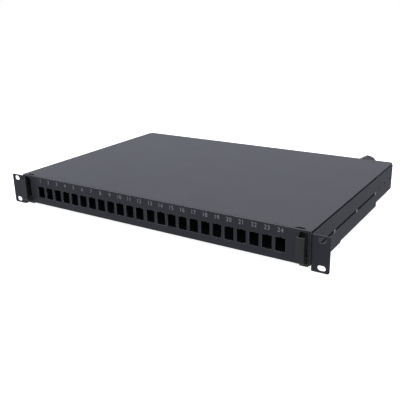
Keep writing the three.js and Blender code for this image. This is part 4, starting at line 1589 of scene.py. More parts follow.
@dataclass
class FrontPanel:
    """The drawer front: 24 numbered adapter cut-outs, a finger opening at each end, and its foot.

    Attributes:
        ports: How many cut-outs there are.
        pitch: Step of their row.
        middle_gap: Extra room between the two middle ones.
        cutout: Width and height of one.
        row_z: Height of their middle.
        notch: Width and depth of the little notch at the middle of its top and bottom edges.
        opening: Lower and upper edge of the finger openings.
        opening_corner: Radius of their upper inner corner.
        digit_height: Height of the printed numbers.
        digit_z: Their lower edge.
    """

    ports: int = 24
    pitch: float = 16.0
    middle_gap: float = 1.2
    cutout: Point = (12.5, 16.4)
    row_z: float = 22.1
    notch: Point = (2.2, 1.0)
    opening: Point = (5.8, 42.0)
    opening_corner: float = 4.0
    digit_height: float = 5.2
    digit_z: float = 36.6

    SIDE_GAP = 0.8  # from a latch to the edge of its opening
    RIM = 0.12
    INK_THICKNESS = 0.05

    def build(self, punched: GrowthTree, row: GrowthTree) -> None:
        """Builds the panel, its foot, its rivets and its numbers."""
        self.build_panel(punched)
        self.build_numbers()
        self.build_foot(row)

    def port_x(self, number: int) -> float:
        """Returns the middle of a cut-out, counted from 1 at the left."""
        step = number - (self.ports + 1) / 2
        return step * self.pitch + math.copysign(self.middle_gap / 2, step)

    def port_outline(self) -> Loop:
        """Returns the outline of one cut-out, centred on zero."""
        half_width, half_height = self.cutout[0] / 2, self.cutout[1] / 2
        notch, deep = self.notch[0] / 2, self.notch[1]
        corners = [
            (notch, -half_height - deep, 0.3),
            (notch, -half_height, 0.0),
            (half_width, -half_height, 0.5),
            (half_width, half_height, 0.5),
            (notch, half_height, 0.0),
            (notch, half_height + deep, 0.3),
        ]
        return rounded([*corners, *((-u, v, r) for u, v, r in reversed(corners))], 3)

    def openings(self) -> list[Loop]:
        """Returns the outlines of the two finger openings."""
        latch = Extent.of("latch_right")
        inner, outer = latch.low.x - self.SIDE_GAP, latch.high.x + self.SIDE_GAP
        low, high = self.opening
        finger = [
            (inner, low, 0.6),
            (outer, low, 0.6),
            (outer, high, 1.2),
            (inner, high, self.opening_corner),
        ]
        right = rounded(finger, 6)
        return [right, [(-u, v) for u, v in reversed(right)]]

    def build_panel(self, punched: GrowthTree) -> None:
        """Punches and rounds the panel itself.

        Args:
            punched: Tree that punches a row of cut-outs.
        """
        box = Extent.of("front_panel")
        bottom, top, half = box.low.z, box.high.z, box.high.x
        outline = rectangle((-half, half), (bottom, top), 0.8, 4)
        seed = edge_loops("punched_front_panel", [outline, *self.openings()])
        cutout = edge_loops("cutout", [self.port_outline()])
        punched.grow(
            seed,
            POWDER,
            Cutout=cutout,
            Count=self.ports,
            Pitch=self.pitch * MM,
            Middle_Gap=self.middle_gap * MM,
            Row_Height=self.row_z * MM,
            Thickness=box.size.y * MM,
        )
        bpy.data.objects.remove(cutout)
        solid = bmesh.new()
        solid.from_mesh(seed.data)
        bmesh.ops.remove_doubles(solid, verts=solid.verts, dist=1e-3 * MM)
        round_edges(solid, self.RIM * MM)
        # The sheet grew along its own Z, which is the row's -Y.
        solid.transform(frame_at((0, box.high.y * MM, 0), "x", "z", "-y"))
        bmesh.ops.recalc_face_normals(solid, faces=solid.faces)
        solid.to_mesh(seed.data)
        solid.free()
        shade(seed)
        fitted(seed, Body.DRAWER, Slot.POWDER_COAT, "front_panel")

    def build_numbers(self) -> None:
        """Prints the number of each port above it."""
        box = Extent.of("front_panel")
        upright = frame_at((0, (box.low.y - self.INK_THICKNESS) * MM, 0), "x", "z", "-y")
        numbers: list[bpy.types.Mesh] = []
        for number in range(1, self.ports + 1):
            curve = bpy.data.curves.new("number", "FONT")
            curve.body = str(number)
            curve.align_x = "CENTER"
            curve.size = self.digit_height * MM / 0.7  # capitals are 0.7 of the nominal size
            curve.offset = -0.012 * curve.size  # slims the strokes to those of a drawing-office face
            curve.space_character = 1.05
            curve.extrude = self.INK_THICKNESS * MM
            curve.resolution_u = 6
            holder = bpy.data.objects.new("number", curve)
            bpy.context.scene.collection.objects.link(holder)
            view = bpy.context.evaluated_depsgraph_get()
            flat = bpy.data.meshes.new_from_object(holder.evaluated_get(view))
            spot = Matrix.Translation((self.port_x(number) * MM, 0, self.digit_z * MM))
            flat.transform(spot @ upright)
            numbers.append(flat)
            bpy.data.objects.remove(holder)
        whole = bmesh.new()
        for flat in numbers:
            whole.from_mesh(flat)
            bpy.data.meshes.remove(flat)
        bmesh.ops.remove_doubles(whole, verts=whole.verts, dist=1e-3 * MM)
        bmesh.ops.recalc_face_normals(whole, faces=whole.faces)
        mesh = bpy.data.meshes.new("port_numbers")
        whole.to_mesh(mesh)
        whole.free()
        mesh.materials.clear()
        mesh.materials.append(INK.material())
        fitted(linked("port_numbers", mesh), Body.DRAWER, Slot.POWDER_COAT)

    def build_foot(self, row: GrowthTree) -> None:
        """Builds the strip that joins the panel to the tray, and its rivets.

        Args:
            row: Tree that repeats along a line.
        """
        box = Extent.of("panel_foot")
        rivets = [f"panel_rivet_{n}" for n in (1, 2, 3, 4)]
        holes = [circle(Extent.of(n).centre.to_tuple()[:2], 1.6, 16) for n in rivets]
        outline = rectangle((box.low.x, box.high.x), (box.low.y, box.high.y), 1.5)
        place = frame_at((0, 0, box.low.z), "x", "y", "z")
        foot = made("panel_foot_strip", POWDER, [(Blank(outline, SHEET, holes).solid(), place)])
        fitted(foot, Body.DRAWER, Slot.POWDER_COAT, "panel_foot")
        length = box.high.z - Extent.of(rivets[0]).low.z
        FastenerRow(
            "panel_rivets",
            Fastener(1.3, length, 2.5, 1.1),
            Body.DRAWER,
            rivets,
            "z",
            box.high.z + 0.1,
        ).build(row)


@dataclass
class Latch:
    """A moulded pull: an upright plate, an arm through the panel, a boss on its pin and a hanging tab.

    Attributes:
        word: "left" or "right".
        thickness: Of the plate.
        curve: Outer radius where the plate turns into the arm.
        arm: Lower and upper edge of the arm, above the lower end of the tab.
        tab: Depth of the tab.
        tab_ahead: From the middle of the pin forward to the front of the tab.
        boss: Radius of the boss.
        rim: Radius on its moulded edges.
    """

    word: str
    thickness: float = 1.6
    curve: float = 3.8
    arm: Point = (6.0, 8.1)
    tab: float = 2.6
    tab_ahead: float = 2.3
    boss: float = 2.4
    rim: float = 0.4

    def outline(self, box: Extent, pivot: Vector) -> Loop:
        """Draws the side of the pull in (y, z).

        Args:
            box: Box of the CAD latch.
            pivot: Middle of its pin.

        Returns:
            The outline.
        """
        front, bottom, top = box.low.y, box.low.z, box.high.z
        low, high = bottom + self.arm[0], bottom + self.arm[1]
        inner = self.curve - self.thickness
        turn_y, turn_z = front + self.curve, low + self.curve
        tab_front = pivot.y - self.tab_ahead
        tab_rear = tab_front + self.tab
        meets = math.degrees(math.acos((tab_rear - pivot.y) / self.boss))
        crest = 0.6
        outline = arc((front + self.thickness - crest, top - crest), crest, 0, 90, 4)
        outline += arc((front + crest, top - crest), crest, 90, 180, 4)
        outline += arc((turn_y, turn_z), self.curve, 180, 270, 10)
        outline += [(tab_front, low)]
        outline += arc((tab_front + 0.5, bottom + 0.5), 0.5, 180, 270, 4)
        outline += arc((tab_rear - 0.5, bottom + 0.5), 0.5, 270, 360, 4)
        outline += arc((pivot.y, pivot.z), self.boss, -meets, 180, 14)
        outline += [(pivot.y - self.boss, high)]
        outline += arc((turn_y, high + inner), inner, 270, 180, 8)
        return without_repeats(outline)

    def build(self) -> None:
        """Builds the pull, its pin and its pocket."""
        node = f"latch_{self.word}"
        box = Extent.of(node)
        pin = Extent.of(f"latch_pin_{self.word}")
        blank = Blank(
            self.outline(box, pin.centre),
            box.size.x,
            [circle((pin.centre.y, pin.centre.z), 1.37, 24)],
            rim=self.rim,
        )
        place = frame_at((box.low.x, 0, 0), "y", "z", "x")
        piece = made(f"latch_pull_{self.word}", LATCH_ABS, [(blank.solid(), place)])
        body = Body.LATCH_RIGHT if self.word == "right" else Body.LATCH_LEFT
        fitted(piece, body, Slot.LATCH, node)
        self.build_pin(pin)
        pocket = f"latch_pocket_{self.word}"
        # The housing takes the lighter nylon copy, whose grey is painted light in the shaded pocket.
        moulding = softened(f"latch_housing_{self.word}", NYLON_PAINTED_POCKET_LIGHT, pocket, 0.2)
        fitted(moulding, Body.DRAWER, Slot.NYLON, pocket)

    def build_pin(self, pin: Extent) -> None:
        """Builds the steel pin with its chamfered ends.

        Args:
            pin: Box of the pin.
        """
        radius, length, chamfer = pin.size.y / 2, pin.size.x, 0.25
        profile = [
            (0, 0),
            (radius - chamfer, 0),
            (radius, chamfer),
            (radius, length - chamfer),
            (radius - chamfer, length),
            (0, length),
        ]
        place = frame_at((pin.low.x, pin.centre.y, pin.centre.z), "y", "z", "x")
        piece = made(f"latch_pivot_pin_{self.word}", ZINC, [(turned(profile, 24), place)])
        fitted(piece, Body.DRAWER, Slot.ZINC, f"latch_pin_{self.word}")


# ------------------------------------------------------------------ drawer


@dataclass
class DrawerTray:
    """The folded tray of the drawer: floor with its front tongue, two sides and a low rear lip.

    Attributes:
        bend: Inside radius of the bends.
        tongue: Gap from the tongue to each latch housing.
        lip: Height of the rear lip.
        side_front: From the front of the tray back to the front of its sides.
    """

    bend: float = 0.5
    tongue: float = 0.3
    lip: float = 9.0
    side_front: float = 9.3

    def build(self) -> None:
        """Builds the tray."""
        box = Extent.of("drawer_tray")
        tongue = Extent.of("latch_pocket_right").low.x - self.tongue
        flat = box.high.x - self.bend - SHEET
        side_y = box.low.y + self.side_front
        edge = min(tongue, flat - 1.0)
        right = [(edge, box.low.y), (edge, side_y)]
        front = [(-u, v) for u, v in reversed(right)] + right
        rivets = [Extent.of(f"panel_rivet_{n}").centre for n in (1, 2, 3, 4)]
        pan = FoldedPan(
            box, box.size.z, self.lip, self.bend, front, floor_holes=[(c.x, c.y, 1.6) for c in rivets]
        )
        place = frame_at((0, 0, box.low.z), "x", "y", "z")
        piece = made("drawer_pan", POWDER, [(pan.blank().solid(), place)])
        fitted(piece, Body.DRAWER, Slot.POWDER_COAT, "drawer_tray")


@dataclass
class SpliceStack:
    """Two splice trays on a stud, with their combs, a clear lid and a thumb nut.

    Attributes:
        corner: Radius of the tray corners.
        wall: Wall and floor of the trays.
        ribs: How many ribs each comb has.
        rib: Thickness of a rib.
        stud: Radius of the stud.
        grips: How many grip ribs the thumb nut has.
        spool: Outer radius and wall of the spools that fibre is wound round.
        spool_inset: From each end of a tray to the middle of its spool.
        spool_ahead: From the middle of a tray forward to that of its spools.
    """

    corner: float = 18.0
    wall: float = 1.4
    ribs: int = 7
    rib: float = 1.4
    stud: float = 2.0
    grips: int = 20
    spool: Point = (26.0, 1.2)
    spool_inset: float = 40.0
    spool_ahead: float = 10.0

    SPOOL_REACH = 70  # degrees to each side that a spool's wall runs
    SPOOL_DROP = 1.2  # from the rim of the tray to the top of the spools

    def build(self, row: GrowthTree, ring: GrowthTree) -> None:
        """Builds the whole stack.

        Args:
            row: Tree that repeats along a line.
            ring: Tree that repeats round an axis.
        """
        for level in ("lower", "upper"):
            self.build_pan(f"splice_tray_{level}")
            self.build_comb(f"splice_comb_{level}", row)
        self.build_lid()
        self.build_stud()
        self.build_nut(ring)

    def plan(self, box: Extent) -> Loop:
        """Returns the rounded outline of a tray."""
        return rectangle((box.low.x, box.high.x), (box.low.y, box.high.y), self.corner, 14)

    def build_pan(self, node: str) -> None:
        """Builds one tray as a shallow moulded dish.

        Args:
            node: CAD node of the tray.
        """
        box = Extent.of(node)
        height, wall = box.size.z, self.wall
        profile = [
            (0.8, 0.0),
            (0.25, 0.25),
            (0.0, 0.8),
            (0.0, height - 0.4),
            (0.15, height - 0.1),
            (0.4, height),
            (wall - 0.4, height),
            (wall - 0.15, height - 0.1),
            (wall, height - 0.4),
            (wall, wall + 0.8),
            (wall + 0.25, wall + 0.25),
            (wall + 0.8, wall),
        ]
        middle = (box.centre.x, box.centre.y)
        hole = circle(middle, self.stud + 0.3, 24)
        dish = Blank(self.plan(box), wall, [hole], rim=0.15, profile=profile)
        place = frame_at((0, 0, box.low.z), "x", "y", "z")
        parts = [(dish.solid(), place)]
        parts += self.spools(box, place)
        fitted(made(f"{node}_dish", TRAY_ABS, parts), Body.DRAWER, Slot.TRAY, node)

    def spools(self, box: Extent, place: Matrix) -> list[tuple[bmesh.types.BMesh, Matrix]]:
        """Returns the low curved walls that fibre is wound round, one near each end of the tray.

        Args:
            box: Box of the tray.
            place: Matrix that lays the tray out.

        Returns:
            Two solids, each with its matrix.
        """
        (radius, wall), reach = self.spool, self.SPOOL_REACH
        rise = box.size.z - self.wall - self.SPOOL_DROP
        spools = []
        for side in (-1, 1):
            centre = (side * (box.high.x - self.spool_inset), box.centre.y - self.spool_ahead)
            turn = 0 if side > 0 else 180
            outer = arc(centre, radius, turn - reach, turn + reach, 18)
            inner = arc(centre, radius - wall, turn + reach, turn - reach, 18)
            lift = Matrix.Translation((0, 0, self.wall - 0.1))
            spools.append((Blank(outer + inner, rise, rim=0.3).solid(), place @ lift))
        return spools

    def build_comb(self, node: str, row: GrowthTree) -> None:
        """Builds a comb: a soft base with a row of ribs that grip the splice sleeves.

        Args:
            node: CAD node of the comb.
            row: Tree that repeats along a line.
        """
        box = Extent.of(node)
        base = 1.0
        upright = frame_at((0, box.low.y, box.low.z + 0.5 * base), "x", "z", "y")
        outline = rounded(
            [
                (box.low.x, 0, 0.0),
                (box.low.x + self.rib, 0, 0.0),
                (box.low.x + self.rib, box.size.z - 0.5 * base, 0.5),
                (box.low.x, box.size.z - 0.5 * base, 0.5),
            ],
            4,
        )
        rib = Blank(outline, box.size.y, rim=0.2)
        seed = made(node, RUBBER, [(rib.solid(), upright)])
        step = (box.size.x - self.rib) / (self.ribs - 1)
        row.grow(seed, RUBBER, Count=self.ribs, Step=(step * MM, 0.0, 0.0))
        plan = rectangle((box.low.x, box.high.x), (box.low.y, box.high.y), 1.0)
        place = frame_at((0, 0, box.low.z), "x", "y", "z")
        floor = made(node + "_base", RUBBER, [(Blank(plan, base).solid(), place)])
        piece = joined(f"{node}_ribs", [seed, floor])
        fitted(piece, Body.DRAWER, Slot.RUBBER, node)

    def build_lid(self) -> None:
        """Builds the clear lid."""
        box = Extent.of("splice_tray_lid")
        hole = circle((box.centre.x, box.centre.y), self.stud + 0.3, 24)
        lid = Blank(self.plan(box), box.size.z, [hole], rim=0.2)
        place = frame_at((0, 0, box.low.z), "x", "y", "z")
        fitted(
            made("splice_lid_sheet", LID_PC, [(lid.solid(), place)]),
            Body.DRAWER,
            Slot.LID,
            "splice_tray_lid",
        )

    def build_stud(self) -> None:
        """Builds the threaded stud on its base."""
        box = Extent.of("tray_stud")
        base, foot = box.size.x / 2, SHEET
        thread = threaded(self.stud, foot + 1.0, box.size.z - 0.4, 0.8, 0.3)
        profile = [
            (0, 0),
            (base - 0.2, 0),
            (base, 0.2),
            (base, foot - 0.2),
            (base - 0.2, foot),
            (self.stud, foot),
            *thread,
            (self.stud - 0.5, box.size.z),
            (0, box.size.z),
        ]
        place = frame_at((box.centre.x, box.centre.y, box.low.z), "x", "y", "z")
        fitted(
            made("tray_stud_thread", ZINC, [(turned(profile, 28), place)]),
            Body.DRAWER,
            Slot.ZINC,
            "tray_stud",
        )

    def build_nut(self, ring: GrowthTree) -> None:
        """Builds the thumb nut with its ring of grip ribs.

        Args:
            ring: Tree that repeats round an axis.
        """
        box = Extent.of("tray_thumb_nut")
        radius, height, rib = box.size.x / 2, box.size.z, 0.7
        core = radius - rib
        bore = self.stud + 0.2
        cap = height - 1.5
        profile = [
            (bore, 0),
            (core - 0.5, 0),
            (core, 0.5),
            (core, height - 1.0),
            (core - 0.3, height - 0.3),
            (core - 1.0, height),
            (0, height - 0.4),
            (0, cap),
            (bore, cap),
        ]
        middle = (box.centre.x, box.centre.y, box.low.z)
        body = made("nut_core", NYLON, [(turned(profile, 48), frame_at(middle, "x", "y", "z"))])
        ridge = Blank(obround((core, 0), 2 * rib, 1.1, 5), height - 1.6, rim=0.25)
        lift = frame_at((0, 0, 0.8), "x", "y", "z")
        seed = made("nut_ribs", NYLON, [(ridge.solid(), lift)])
        centre = tuple(Vector(middle) * MM)
        ring.grow(seed, NYLON, Count=self.grips, Axis=(0.0, 0.0, 1.0), Centre=centre)
        piece = joined("thumb_nut_knob", [body, seed])
        fitted(piece, Body.THUMB_NUT, Slot.NYLON, "tray_thumb_nut")


def joined(name: str, pieces: Sequence[bpy.types.Object]) -> bpy.types.Object:
    """Joins pieces of one material into one, and shades it.

    Args:
        name: Name of the joined piece.
        pieces: Pieces to join, which are used up.

    Returns:
        The joined piece.
    """
    whole = bmesh.new()
    for piece in pieces:
        whole.from_mesh(piece.data)
    mesh = bpy.data.meshes.new(name)
    whole.to_mesh(mesh)
    whole.free()
    mesh.materials.append(pieces[0].data.materials[0])
    for piece in pieces:
        bpy.data.objects.remove(piece)
    return shade(linked(name, mesh))


@dataclass
class CableFittings:
    """Fibre guides and the cable clamp on the tray floor.

    Attributes:
        wall: Wall of a guide.
        slit: Width of the slit in its top.
        guide_corner: Outer radius of its corners.
        arch: Inside radius of the clamp strap.
        strap: Thickness of the strap.
    """

    wall: float = 2.0
    slit: float = 3.0
    guide_corner: float = 5.0
    arch: float = 6.5
    strap: float = 1.5

    def build(self, row: GrowthTree) -> None:
        """Builds the four guides and the clamp."""
        for number in (1, 2, 3, 4):
            self.build_guide(f"fibre_guide_{number}")
        self.build_clamp(row)

    def build_guide(self, node: str) -> None:
        """Builds one upright ring, open at its slit.

        Args:
            node: CAD node of the guide.
        """
        box = Extent.of(node)
        half, height, wall = box.size.x / 2, box.size.z, self.wall
        gap, corner = self.slit / 2, self.guide_corner
        right = [
            (half, 0.0, corner),
            (half, height, corner),
            (gap, height, 0.8),
            (gap, height - wall, 0.8),
            (half - wall, height - wall, corner - wall),
            (half - wall, wall, corner - wall),
        ]
        left = [(-u, v, r) for u, v, r in reversed(right)]
        # From the right half's outside over its slit to its inside, then back along the left half.
        outline = rounded([*right, *left], 6)
        place = frame_at((box.centre.x, box.low.y, box.low.z), "x", "z", "y")
        ring = Blank(outline, box.size.y, rim=0.5)
        fitted(made(f"{node}_ring", NYLON, [(ring.solid(), place)]), Body.DRAWER, Slot.NYLON, node)

    def build_clamp(self, row: GrowthTree) -> None:
        """Builds the base, the omega strap and the two screws of the clamp.

        Args:
            row: Tree that repeats along a line.
        """
        base, strap = Extent.of("cable_clamp_base"), Extent.of("cable_clamp_strap")
        middle, half, top = base.centre.x, base.size.x / 2, base.size.z
        groove_z = top + self.arch / 2
        dip = math.degrees(math.asin((groove_z - top) / self.arch))
        block = [(-half, 0.0), (half, 0.0), (half, top)]
        block += arc((0, groove_z), self.arch, -dip, -180 + dip, 14)
        block += [(-half, top)]
        across = frame_at((middle, base.low.y, base.low.z), "x", "z", "y")
        body = made("clamp_saddle", NYLON, [(Blank(block, base.size.y, rim=0.4).solid(), across)])
        fitted(body, Body.DRAWER, Slot.NYLON, "cable_clamp_base")

        outer = self.arch + self.strap
        rise = math.degrees(math.asin(self.strap / outer))
        omega = [(-half, 0.0), (-self.arch, 0.0), *arc((0, 0), self.arch, 180, 0, 16)[1:-1]]
        omega += [(self.arch, 0.0), (half, 0.0), (half, self.strap)]
        omega += [*arc((0, 0), outer, rise, 180 - rise, 18), (-half, self.strap)]
        across = frame_at((middle, strap.low.y, strap.low.z), "x", "z", "y")
        band = made("clamp_strap", ZINC, [(Blank(omega, strap.size.y, rim=0.25).solid(), across)])
        fitted(band, Body.DRAWER, Slot.ZINC, "cable_clamp_strap")
        FastenerRow(
            "clamp_screws",
            Fastener(1.3, 6.0, 2.6, 1.8, recess=3.2, pitch=0.6),
            Body.DRAWER,
            ["cable_clamp_screw_1", "cable_clamp_screw_2"],
            "z",
            strap.low.z + self.strap + 0.1,
        ).build(row)


# ------------------------------------------------------------------ cable entries


@dataclass
class CableEntries:
    """The cable gland in the right entry and the blanking plug in the left one.

    Attributes:
        flats: Width across the flats of the collar and the dome nut.
        lock_flats: Width across the flats of the lock nuts.
        thread: Radius of the entry thread.
        pitch: Its pitch, drawn as rings.
        bore: Radius of the bore of the body.
        stub: Radius of the stub that the dome nut turns on.
        mouth: Radius of the mouth of the dome nut.
        tip: Outer radius of the dome nut at its mouth.
        ribs: How many grip ribs the dome has.
    """

    flats: float = 27.0
    lock_flats: float = 27.0
    thread: float = 10.0
    pitch: float = 1.5
    bore: float = 6.0
    stub: float = 8.8
    mouth: float = 6.6
    tip: float = 8.2
    ribs: int = 24

    COLLAR = 5.0
    NUT_HEX = 22.0

    def build(self, ring: GrowthTree) -> None:
        """Builds both entries.

        Args:
            ring: Tree that repeats round an axis.
        """
        self.build_gland_body()
        self.build_dome_nut(ring)
        self.build_seal()
        self.build_lock_nut("gland_lock_nut", "gland_ring_nut")
        self.build_plug()
        self.build_lock_nut("entry_plug_nut", "plug_ring_nut")

    def along(self, node: str) -> tuple[Extent, Matrix]:
        """Returns a node's box, and the matrix from (u, v, w) to its axis along Y."""
        box = Extent.of(node)
        return box, frame_at((box.centre.x, box.low.y, box.centre.z), "z", "x", "y")

    def build_gland_body(self) -> None:
        """Builds the threaded body with its hexagon collar."""
        box, place = self.along("gland_body")
        length = box.size.y
        collar = Extent.of("rear_panel").high.y + 0.3 - box.low.y
        thread = threaded(self.thread, 0.6, collar, self.pitch, 0.7)
        barrel = [
            (self.bore, 0),
            (self.thread - 1.2, 0),
            *thread,
            (self.thread - 0.5, collar + self.COLLAR - 1),
            (self.stub, collar + self.COLLAR - 1),
            (self.stub, length - 0.5),
            (self.stub - 0.5, length),
            (self.bore, length),
        ]
        hexagon = hexagon_prism(self.flats, self.COLLAR, self.thread - 1.0)
        raised = place @ Matrix.Translation((0, 0, collar))
        parts = [(turned(barrel, 56), place), (hexagon, raised)]
        fitted(made("gland_thread_body", NYLON, parts), Body.CASING, Slot.NYLON, "gland_body")

    def build_dome_nut(self, ring: GrowthTree) -> None:
        """Builds the dome nut: a hexagon below, and a ribbed dome down to its mouth.

        Args:
            ring: Tree that repeats round an axis.
        """
        box, place = self.along("gland_dome_nut")
        length, shoulder = box.size.y, self.flats / 2
        dome = length - self.NUT_HEX
        bore = self.stub + 0.4
        shell = [
            (bore, self.NUT_HEX - 1.5),
            (shoulder - 0.2, self.NUT_HEX - 1.5),
            (shoulder - 0.2, self.NUT_HEX + 0.6),
        ]
        shell += [
            (
                self.tip + (shoulder - 0.2 - self.tip) * math.cos(a),
                self.NUT_HEX + 0.6 + (dome - 1.4) * math.sin(a),
            )
            for a in (math.radians(d) for d in (15, 30, 45, 60, 75))
        ]
        shell += [
            (self.tip, length - 0.7),
            (self.tip - 0.5, length - 0.1),
            (self.tip - 0.9, length),
            (self.mouth + 0.3, length),
            (self.mouth, length - 0.4),
            (self.mouth, length - 6.0),
            (bore, length - 10.5),
        ]
        hexagon = hexagon_prism(self.flats, self.NUT_HEX, bore)
        parts = [(hexagon, place), (turned(shell, 64), place)]
        body = made("dome_shell", NYLON, parts)
        seed = made("dome_rib", NYLON, [self.dome_rib(shoulder, dome)])
        centre = (box.centre.x * MM, box.low.y * MM, box.centre.z * MM)
        ring.grow(seed, NYLON, Count=self.ribs, Axis=(0.0, 1.0, 0.0), Centre=centre)
        piece = joined("gland_nut_dome", [body, seed])
        fitted(piece, Body.GLAND_NUT, Slot.NYLON, "gland_dome_nut")

    def dome_rib(self, shoulder: float, dome: float) -> tuple[bmesh.types.BMesh, Matrix]:
        """Returns one rib along the dome, before it is turned into its place.

        Args:
            shoulder: Radius of the dome at its foot.
            dome: Length of the dome.

        Returns:
            The solid, and the matrix that lays it over the +Z side of the axis.
        """
        outer = [
            (
                self.tip + 0.25 + (shoulder - 0.05 - self.tip) * math.cos(a),
                self.NUT_HEX + 0.4 + (dome - 1.6) * math.sin(a),
            )
            for a in (math.radians(d) for d in (0, 15, 30, 45, 60, 72))
        ]
        under = [(r - 0.9, h) for r, h in reversed(outer)]
        outline = [(h, r) for r, h in outer + under]
        return Blank(outline, 0.9, rim=0.2).solid(), frame_at((-0.45, 0, 0), "y", "z", "x")

    def build_seal(self) -> None:
        """Builds the rubber seal inside the dome nut."""
        box, place = self.along("gland_seal")
        length, outer, inner = box.size.y, box.size.x / 2, 4.5
        lip = self.mouth - 0.6
        profile = [
            (inner, 0.3),
            (inner + 0.3, 0),
            (outer - 0.4, 0),
            (outer, 0.4),
            (outer, 0.45 * length),
            (lip, length - 0.3),
            (lip - 0.3, length),
            (inner + 0.4, length),
            (inner, length - 0.4),
        ]
        fitted(
            made("gland_seal_bush", RUBBER, [(turned(profile, 48), place)]),
            Body.CASING,
            Slot.RUBBER,
            "gland_seal",
        )

    def build_lock_nut(self, node: str, name: str) -> None:
        """Builds a lock nut inside the rear wall."""
        box = Extent.of(node)
        place = frame_at((box.centre.x, box.low.y, box.centre.z), "x", "-z", "y")
        nut = hexagon_prism(self.lock_flats, box.size.y, self.thread + 0.2)
        fitted(made(name, NYLON, [(nut, place)]), Body.CASING, Slot.NYLON, node)

    def build_plug(self) -> None:
        """Builds the blanking plug with its driver slot."""
        box, place = self.along("entry_plug")
        length, head = box.size.y, box.size.x / 2
        seat = Extent.of("rear_panel").high.y + 0.3 - box.low.y
        profile = [
            (0, 0),
            (self.thread - 1.2, 0),
            *threaded(self.thread, 0.6, seat, self.pitch, 0.7),
            (head, seat),
            (head, length - 2.0),
            (head - 0.5, length - 0.9),
            (head - 1.4, length - 0.2),
            (head - 2.4, length),
            (0, length),
        ]
        plug = made("entry_plug_body", NYLON, [(turned(profile, 56), place)])
        slot = Blank(rectangle((-head - 1, head + 1), (-1.1, 1.1), 0.2), 4.0, rim=0.0)
        lift = Matrix.Translation((0, 0, length - 2.2))
        carve(plug, made("slot", NYLON, [(slot.solid(), place @ lift)]))
        fitted(shade(plug), Body.CASING, Slot.NYLON, "entry_plug")


# ------------------------------------------------------------------ studio


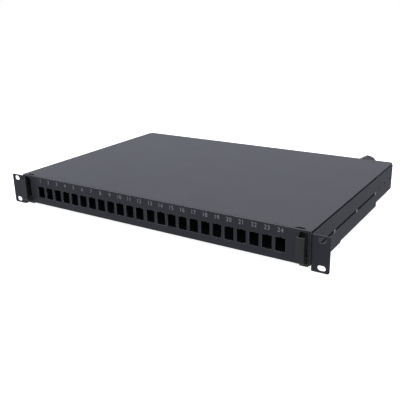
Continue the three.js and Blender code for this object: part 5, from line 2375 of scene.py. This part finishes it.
@dataclass
class Studio:
    """Camera, floor and soft light.

    Attributes:
        yaw: Turn of the camera to the left of the row's +Y, in degrees.
        pitch: Its tilt downwards, in degrees.
        roll: Its roll, in degrees.
        lens: Focal length for a 36 mm sensor, in millimetres.
        place: Where it stands, in metres.
        bright_way: Direction of the bright part of the surround.
        fade: Share of that direction at which the surround starts and ends its change.
        glow: Strength of the surround at its dim and its bright end.
    """

    yaw: float = 33.31
    pitch: float = 19.17
    roll: float = -1.43
    lens: float = 52.14
    place: tuple[float, float, float] = (0.4291, -0.69425, 0.2753)
    bright_way: tuple[float, float, float] = (-0.80, 0.52, 0.30)
    fade: Point = (0.0, 1.0)
    glow: Point = (0.45, 0.98)

    def build(self) -> None:
        """Sets up the view, the floor and the light."""
        self.build_camera()
        self.build_floor()
        self.build_world()
        self.build_lights()
        bpy.context.scene.view_settings.view_transform = "Standard"

    def build_camera(self) -> None:
        """Adds the camera and makes it the scene's."""
        yaw, pitch, roll = (math.radians(a) for a in (self.yaw, self.pitch, self.roll))
        ahead = Vector(
            (-math.sin(yaw) * math.cos(pitch), math.cos(yaw) * math.cos(pitch), -math.sin(pitch))
        )
        right = Vector((math.cos(yaw), math.sin(yaw), 0))
        upward = right.cross(ahead)
        across = right * math.cos(roll) + upward * math.sin(roll)
        above = upward * math.cos(roll) - right * math.sin(roll)
        data = bpy.data.cameras.new("camera")
        data.lens = self.lens
        data.sensor_width = 36.0
        camera = bpy.data.objects.new("camera", data)
        turn = Matrix((across, above, -ahead)).transposed().to_4x4()
        camera.matrix_world = Matrix.Translation(self.place) @ turn
        bpy.context.scene.collection.objects.link(camera)
        bpy.context.scene.camera = camera

    def build_floor(self) -> None:
        """Adds a plain white floor, lit evenly like a light table."""
        solid = bmesh.new()
        bmesh.ops.create_grid(solid, x_segments=1, y_segments=1, size=6.0)
        mesh = bpy.data.meshes.new("floor")
        solid.to_mesh(mesh)
        solid.free()
        floor = linked("floor", mesh)
        floor.data.transform(Matrix.Translation((0, 0, -0.0003)))
        paper = bpy.data.materials.new("white_paper")
        paper.use_nodes = True
        tree = paper.node_tree
        tree.nodes.clear()
        shader = add_node(
            tree,
            "ShaderNodeBsdfPrincipled",
            {
                "Base Color": linear("#f4f4f4"),
                "Roughness": 0.9,
                "Emission Color": linear("#ffffff"),
                "Emission Strength": 0.9,
            },
        )
        add_node(tree, "ShaderNodeOutputMaterial", {"Surface": shader.outputs["BSDF"]})
        floor.data.materials.append(paper)
        floor.visible_diffuse = False
        floor.visible_glossy = False

    def build_world(self) -> None:
        """Adds an even white surround that fades from behind the left towards the front right."""
        world = bpy.data.worlds.new("studio")
        world.use_nodes = True
        bpy.context.scene.world = world
        tree = world.node_tree
        tree.nodes.clear()
        way = add_node(tree, "ShaderNodeTexCoord").outputs["Generated"]
        share = add_node(
            tree,
            "ShaderNodeVectorMath",
            {0: way, 1: self.bright_way},
            operation="DOT_PRODUCT",
        ).outputs["Value"]
        fade = add_node(
            tree,
            "ShaderNodeMapRange",
            {
                "Value": share,
                "From Min": self.fade[0],
                "From Max": self.fade[1],
                "To Min": self.glow[0],
                "To Max": self.glow[1],
            },
            interpolation_type="SMOOTHSTEP",
        ).outputs["Result"]
        seen = add_node(tree, "ShaderNodeLightPath").outputs["Is Camera Ray"]
        strength = add_node(
            tree, "ShaderNodeMix", {"Factor": seen, "A": fade, "B": 1.0}, data_type="FLOAT"
        ).outputs["Result"]
        colour = add_node(
            tree,
            "ShaderNodeMix",
            {"Factor": seen, "A": linear("#f1f4ff"), "B": linear("#ffffff")},
            data_type="RGBA",
        ).outputs["Result"]
        light = add_node(tree, "ShaderNodeBackground", {"Color": colour, "Strength": strength})
        add_node(tree, "ShaderNodeOutputWorld", {"Surface": light.outputs["Background"]})

    def build_lights(self) -> None:
        """Adds a large soft box overhead."""
        self.soft_box("overhead", (0.1, 0.3, 1.6), (0.0, 0.0, 0.0), 1.8, 12.0)

    def soft_box(
        self,
        name: str,
        place: Sequence[float],
        target: Sequence[float],
        size: float,
        power: float,
    ) -> None:
        """Adds a square area light that looks at a point.

        Args:
            name: Name of the light.
            place: Where it hangs, in metres.
            target: What it looks at, in metres.
            size: Its side, in metres.
            power: In watts.
        """
        data = bpy.data.lights.new(name, "AREA")
        data.size = size
        data.energy = power
        lamp = bpy.data.objects.new(name, data)
        lamp.location = place
        towards = Vector(target) - Vector(place)
        lamp.rotation_euler = towards.to_track_quat("-Z", "Y").to_euler()
        bpy.context.scene.collection.objects.link(lamp)


# ------------------------------------------------------------------ whole panel


def main() -> None:
    """Builds the studio and every sub-assembly in order."""
    logging.basicConfig(level=logging.INFO, format="%(name)s: %(message)s")
    Studio().build()
    row, ring, punched = row_tree(), ring_tree(), punched_sheet_tree()
    Casing().build(row)
    Slides().build()
    for word in SIDES:
        RackEar(word).build(row)
    FrontPanel().build(punched, row)
    for word in SIDES:
        Latch(word).build()
    DrawerTray().build()
    SpliceStack().build(row, ring)
    CableFittings().build(row)
    CableEntries().build(ring)


if __name__ == "__main__":
    main()
